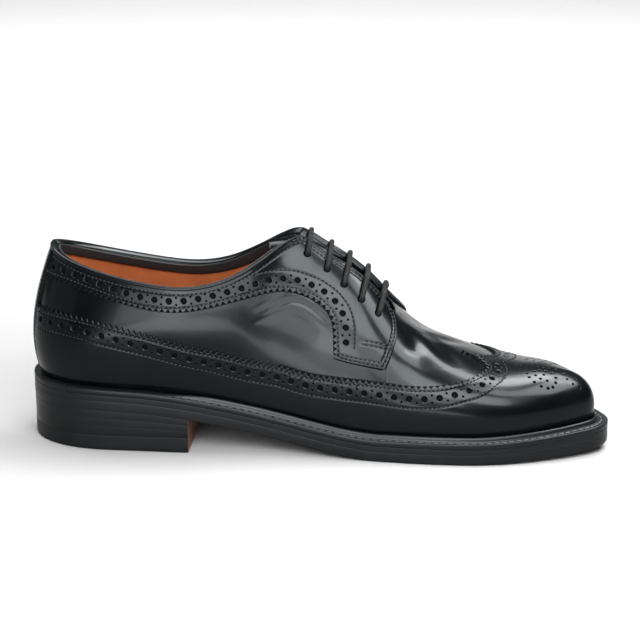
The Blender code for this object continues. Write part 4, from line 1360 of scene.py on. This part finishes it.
# sole edge carried down from the sole to the top piece, in shares with a dent at each seam
def buildHeel():
    look = heelShape
    ends = {side: stationAt(side, look["breastX"]) for side in (inner, outer)}
    # stack follows the sole above and the flat top piece below, so its lines fan out to the back
    share = [0.0, 0.03, 0.30, 0.315, 0.33, 0.62, 0.635, 0.65, 0.97, 1.0]
    dent = [0.05, 0.0, 0.0, 0.025, 0.0, 0.0, 0.02, 0.0, 0.0, 0.08]
    sides = []
    for side in (inner, outer):
        s = np.linspace(0, ends[side], 200)
        p, out = soleEdge(side, s)
        inset = look["inset"] + np.array(dent)
        plan = p[:, None] - out[:, None] * inset[None, :, None]
        high = underside(plan[..., 0]) + 0.1
        z = high + (look["topPiece"] + 0.15 - high) * np.array(share)[None]
        sides.append(np.concatenate([plan, z[..., None]], -1))
    left, right = sides
    sheets = [(grid, edgeUv(side, runOf(grid[:, 0]), grid[..., 2]), side == inner, 0)
              for side, grid in ((inner, left), (outer, right))]
    for index, flip in ((0, False), (-1, True)):
        grid = acrossSole(left[:, index], right[:, index], 16)
        sheets.append((grid, grid[..., :2], flip, 0))
    grid = acrossSole(left[-1], right[-1], 24)
    sheets.append((grid, grid[..., 1:], False, 1))
    points, faces, uv, numbers = joinedSheets(sheets)
    addPiece("heel_stack_leather", points, faces, heelInk, ["heel_stack"], uv=uv,
             sharp=40, second=([soleNatural], numbers))
    topPiece = edgeSection(0, look["topPiece"], look["inset"], 0.15, 1.1, 0.05)
    soleLayer("heel_top_piece_rubber", topPiece, topRubber, ["heel_top_piece"], soleNatural,
              ends=ends, level=True)


# Welt: flat rim, stitched channel, raised bead against the upper; wheel marks cut across the rim
weltShape = dict(bead=2.4, under=3.5, flat=4.95, wheelPitch=2.1, wheelDepth=0.16, stitchPitch=4.0,
                 stitchFrom=78.0, stitchAt=0.64, stitchSink=0.28,
                 beadRow=[(4.9, 0.0), (4.7, 0.42), (4.35, 0.78), (3.9, 0.97), (3.5, 1.0), (3.1, 0.92),
                          (2.75, 0.6), (2.4, 0.1)])


# rows of inset and height carried round the sole edge, the rim notched by a cosine
def buildWelt():
    look = weltShape
    low = soleLayers["outsole"] + soleLayers["midsole"] + 2 * soleLayers["gap"]
    top = low + soleLayers["welt"]
    parts, uvs, kinds = [], [], []
    for side in (inner, outer):
        s = np.linspace(0, 1, 1300)
        p, out = soleEdge(side, s)
        width = tableAt("weltWidth", s)
        rise = look["bead"] * beadShare(s)
        run = runOf(p)
        wheel = look["wheelDepth"] * (0.5 + 0.5 * np.cos(2 * np.pi * run / look["wheelPitch"])) ** 3
        zero = np.zeros_like(s)
        flatWide = width - look["flat"]
        rows = [(zero + 0.25, zero + low - 0.1), (zero, zero + low + 0.2), (zero - 0.05, zero + low + 1.4),
                (zero, zero + top - 0.5), (zero + 0.15, zero + top - 0.18),
                (zero + 0.5, zero + top - wheel * 0.4), (flatWide * 0.22, top - wheel),
                (flatWide * 0.38, top - wheel), (flatWide * 0.50, top - 0.35 + zero),
                (flatWide * look["stitchAt"], top - 0.55 + zero), (flatWide * 0.80, top - 0.35 + zero),
                (flatWide * 0.95, top - 0.12 + zero)]
        rows += [(width - off, top + f * rise) for off, f in look["beadRow"]]
        rows += [(width + look["under"], top + zero), (width + look["under"], low + zero), rows[0]]
        grid = np.stack([overSole(p - out * inset[:, None], height) for inset, height in rows], 1)
        uvs.append(edgeUv(side, run, np.arange(len(rows)) * 0.9).reshape(-1, 2))
        parts.append((grid, gridFaces(*grid.shape[:2], side == inner)))
        kinds.append(np.tile(np.repeat([1, 0, 2, 0], [4, 3, 5, len(rows) - 13]), 2 * (len(s) - 1)))
        at = np.arange(stationAt(side, look["stitchFrom"]) * run[-1], run[-1] - 2, look["stitchPitch"])
        inset = np.interp(at, run, flatWide * look["stitchAt"])
        spots = []
        for ahead in (0.0, 0.5):
            q, qOut = soleEdge(side, (at + ahead) / run[-1])
            spots.append(overSole(q - qOut * inset[:, None], top - look["stitchSink"]))
        centre = spots[0]
        along = unit(spots[1] - centre)
        normal = unit(np.cross(np.cross(along, up), along))
        weltRows.append((centre, along, normal))
    points, faces = joined(parts)
    addPiece("welt_leather", points, faces, weltLeather, ["welt"], uv=np.concatenate(uvs),
             sharp=60, second=([edgeInk, weltChannel], np.concatenate(kinds)))


# Insole and sock: the foot bed between the linings, slightly dished
sockShape = dict(inset=1.9, over=3.6, dish=0.9, wall=3.0)


# straight across between inset sole edges, raised at the sides by the fourth power
def buildInsole():
    look = sockShape
    s = np.linspace(0, 1, 140)
    flatEdges = []
    for side in (inner, outer):
        p, out = soleEdge(side, s)
        flatEdges.append(p - out * (tableAt("weltWidth", s) + look["inset"])[:, None])
    plan = acrossSole(flatEdges[0], flatEdges[1], 30)
    w = np.linspace(-1, 1, 31)[None]
    z = underside(plan[..., 0]) + soleThick + look["over"] + look["dish"] * w ** 4
    grid = np.concatenate([plan, z[..., None]], -1)
    points, faces = grid.reshape(-1, 3), gridFaces(*grid.shape[:2])
    piece = addPiece("sock_calf", points, faces, lining, ["insole"])
    thicken(piece, look["wall"])


# all stitches of a kind in one mesh, and the painted-shade dots of the needle holes
def buildStitches():
    for name, rows, size, material, slotName in (
            ("upper_stitches", stitchRows, threadSizes["size"], thread, "upper_leather"),
            ("needle_hole_shade", needleShadeRows, threadSizes["pit"], paintedShadeBlack, "upper_leather"),
            ("welt_stitches", weltRows, threadSizes["weltSize"], weltThread, "sole_edge")):
        centre, along, normal = [np.concatenate([r[i] for r in rows]) for i in range(3)]
        points, faces = capsules(centre, along, normal, *size)
        addPiece(name, points, faces, material, weld=False)


buildUpper()
buildWing()
buildFacing(inner, "facing_medial_calf", "facing_medial")
buildFacing(outer, "facing_lateral_calf", "facing_lateral")
buildHeelStrip()
buildLining()
buildRoll()
buildTongue()
buildLaces()
buildSole()
buildHeel()
buildWelt()
buildInsole()
buildPaintedShade()
buildStitches()

# Studio: pale floor, soft boxes round the camera, camera at the photograph's angle.
# lamps: place, point they face, width, height, brightness, turn about their own axis in degrees
studio = dict(camera=(0.0738, -1.0062, 0.3815), aim=(0.0005, -0.0080, 0.064), lens=111.04, world=0.12,
              lamps=dict(key=((0.117, -0.41, 0.41), (0.02, 0, 0.08), 0.40, 0.25, 22.0, 0),
                         flank=((0.247, -0.061, 0.28), (0.03, -0.015, 0.08), 0.17, 0.17, 20.0, 0),
                         over=((0.621, 0.337, 1.15), (0.621, 0.337, 0.0), 1.0, 0.47, 24.0, -27),
                         bounce=((-0.10, -0.86, 0.004), (-0.10, -0.86, 1.0), 0.46, 1.05, 15.0, 0),
                         glow=((-0.005, -0.21, 0.112), (-0.005, 0, 0.112), 0.21, 0.075, 11.0, 0),
                         front=((-0.30, -0.95, 0.19), (-0.10, 0, 0.14), 0.46, 0.34, 9.0, 0),
                         side=((-1.51, -0.41, 0.39), (0, 0, 0.06), 1.2, 0.9, 0.5, 0),
                         top=((-0.45, 0.50, 1.50), (-0.40, 0.35, 0.0), 2.0, 0.9, 14.0, 0),
                         horizon=((0.0, 1.80, 0.18), (0, 0, 0.10), 3.0, 0.30, 1.4, 0),
                         back=((0, 0.5, 1.1), (0, 1.6, 0.66), 3.0, 0.5, 26.0, 0)))


# floor, lamps at brightness times pi times their area, plain world, camera
def buildStudio():
    look = studio
    material, tree, shader = newMaterial("paperSweepWhite")
    tooth = noise(tree, placeOf(tree), 40, 4.0)
    fill(tree, shader, {"Base Color": mixed(tree, tooth, "#787878", "#7c7c7c"), "Roughness": 0.9,
                        "Specular IOR Level": 0.1})
    mesh = bpy.data.meshes.new("floor")
    mesh.from_pydata([(-4, -4, 0), (4, -4, 0), (4, 5, 0), (-4, 5, 0)], [], [(0, 1, 2, 3)])
    mesh.materials.append(material)
    floor = bpy.data.objects.new("floor", mesh)
    bpy.context.scene.collection.objects.link(floor)
    for name, (place, toward, wide, high, bright, turn) in look["lamps"].items():
        lamp = bpy.data.lights.new(name + "Softbox", "AREA")
        lamp.shape, lamp.size, lamp.size_y = "RECTANGLE", wide, high
        lamp.energy = bright * np.pi * wide * high
        holder = bpy.data.objects.new(name + "Softbox", lamp)
        holder.location = place
        facing = (Vector(toward) - Vector(place)).to_track_quat("-Z", "Y")
        holder.rotation_euler = (facing @ Quaternion((0, 0, 1), np.radians(turn))).to_euler()
        holder.visible_camera = False
        bpy.context.scene.collection.objects.link(holder)
    world = bpy.data.worlds.new("studio")
    world.use_nodes = True
    world.node_tree.nodes["Background"].inputs["Color"].default_value = (1, 1, 1, 1)
    world.node_tree.nodes["Background"].inputs["Strength"].default_value = look["world"]
    bpy.context.scene.world = world
    lens = bpy.data.cameras.new("camera")
    lens.lens, lens.sensor_width = look["lens"], 36.0
    camera = bpy.data.objects.new("camera", lens)
    camera.location = look["camera"]
    camera.rotation_euler = (Vector(look["aim"]) - camera.location).to_track_quat("-Z", "Y").to_euler()
    bpy.context.scene.collection.objects.link(camera)
    bpy.context.scene.camera = camera
    bpy.context.scene.view_settings.view_transform = "Standard"


buildStudio()
print("studio made")
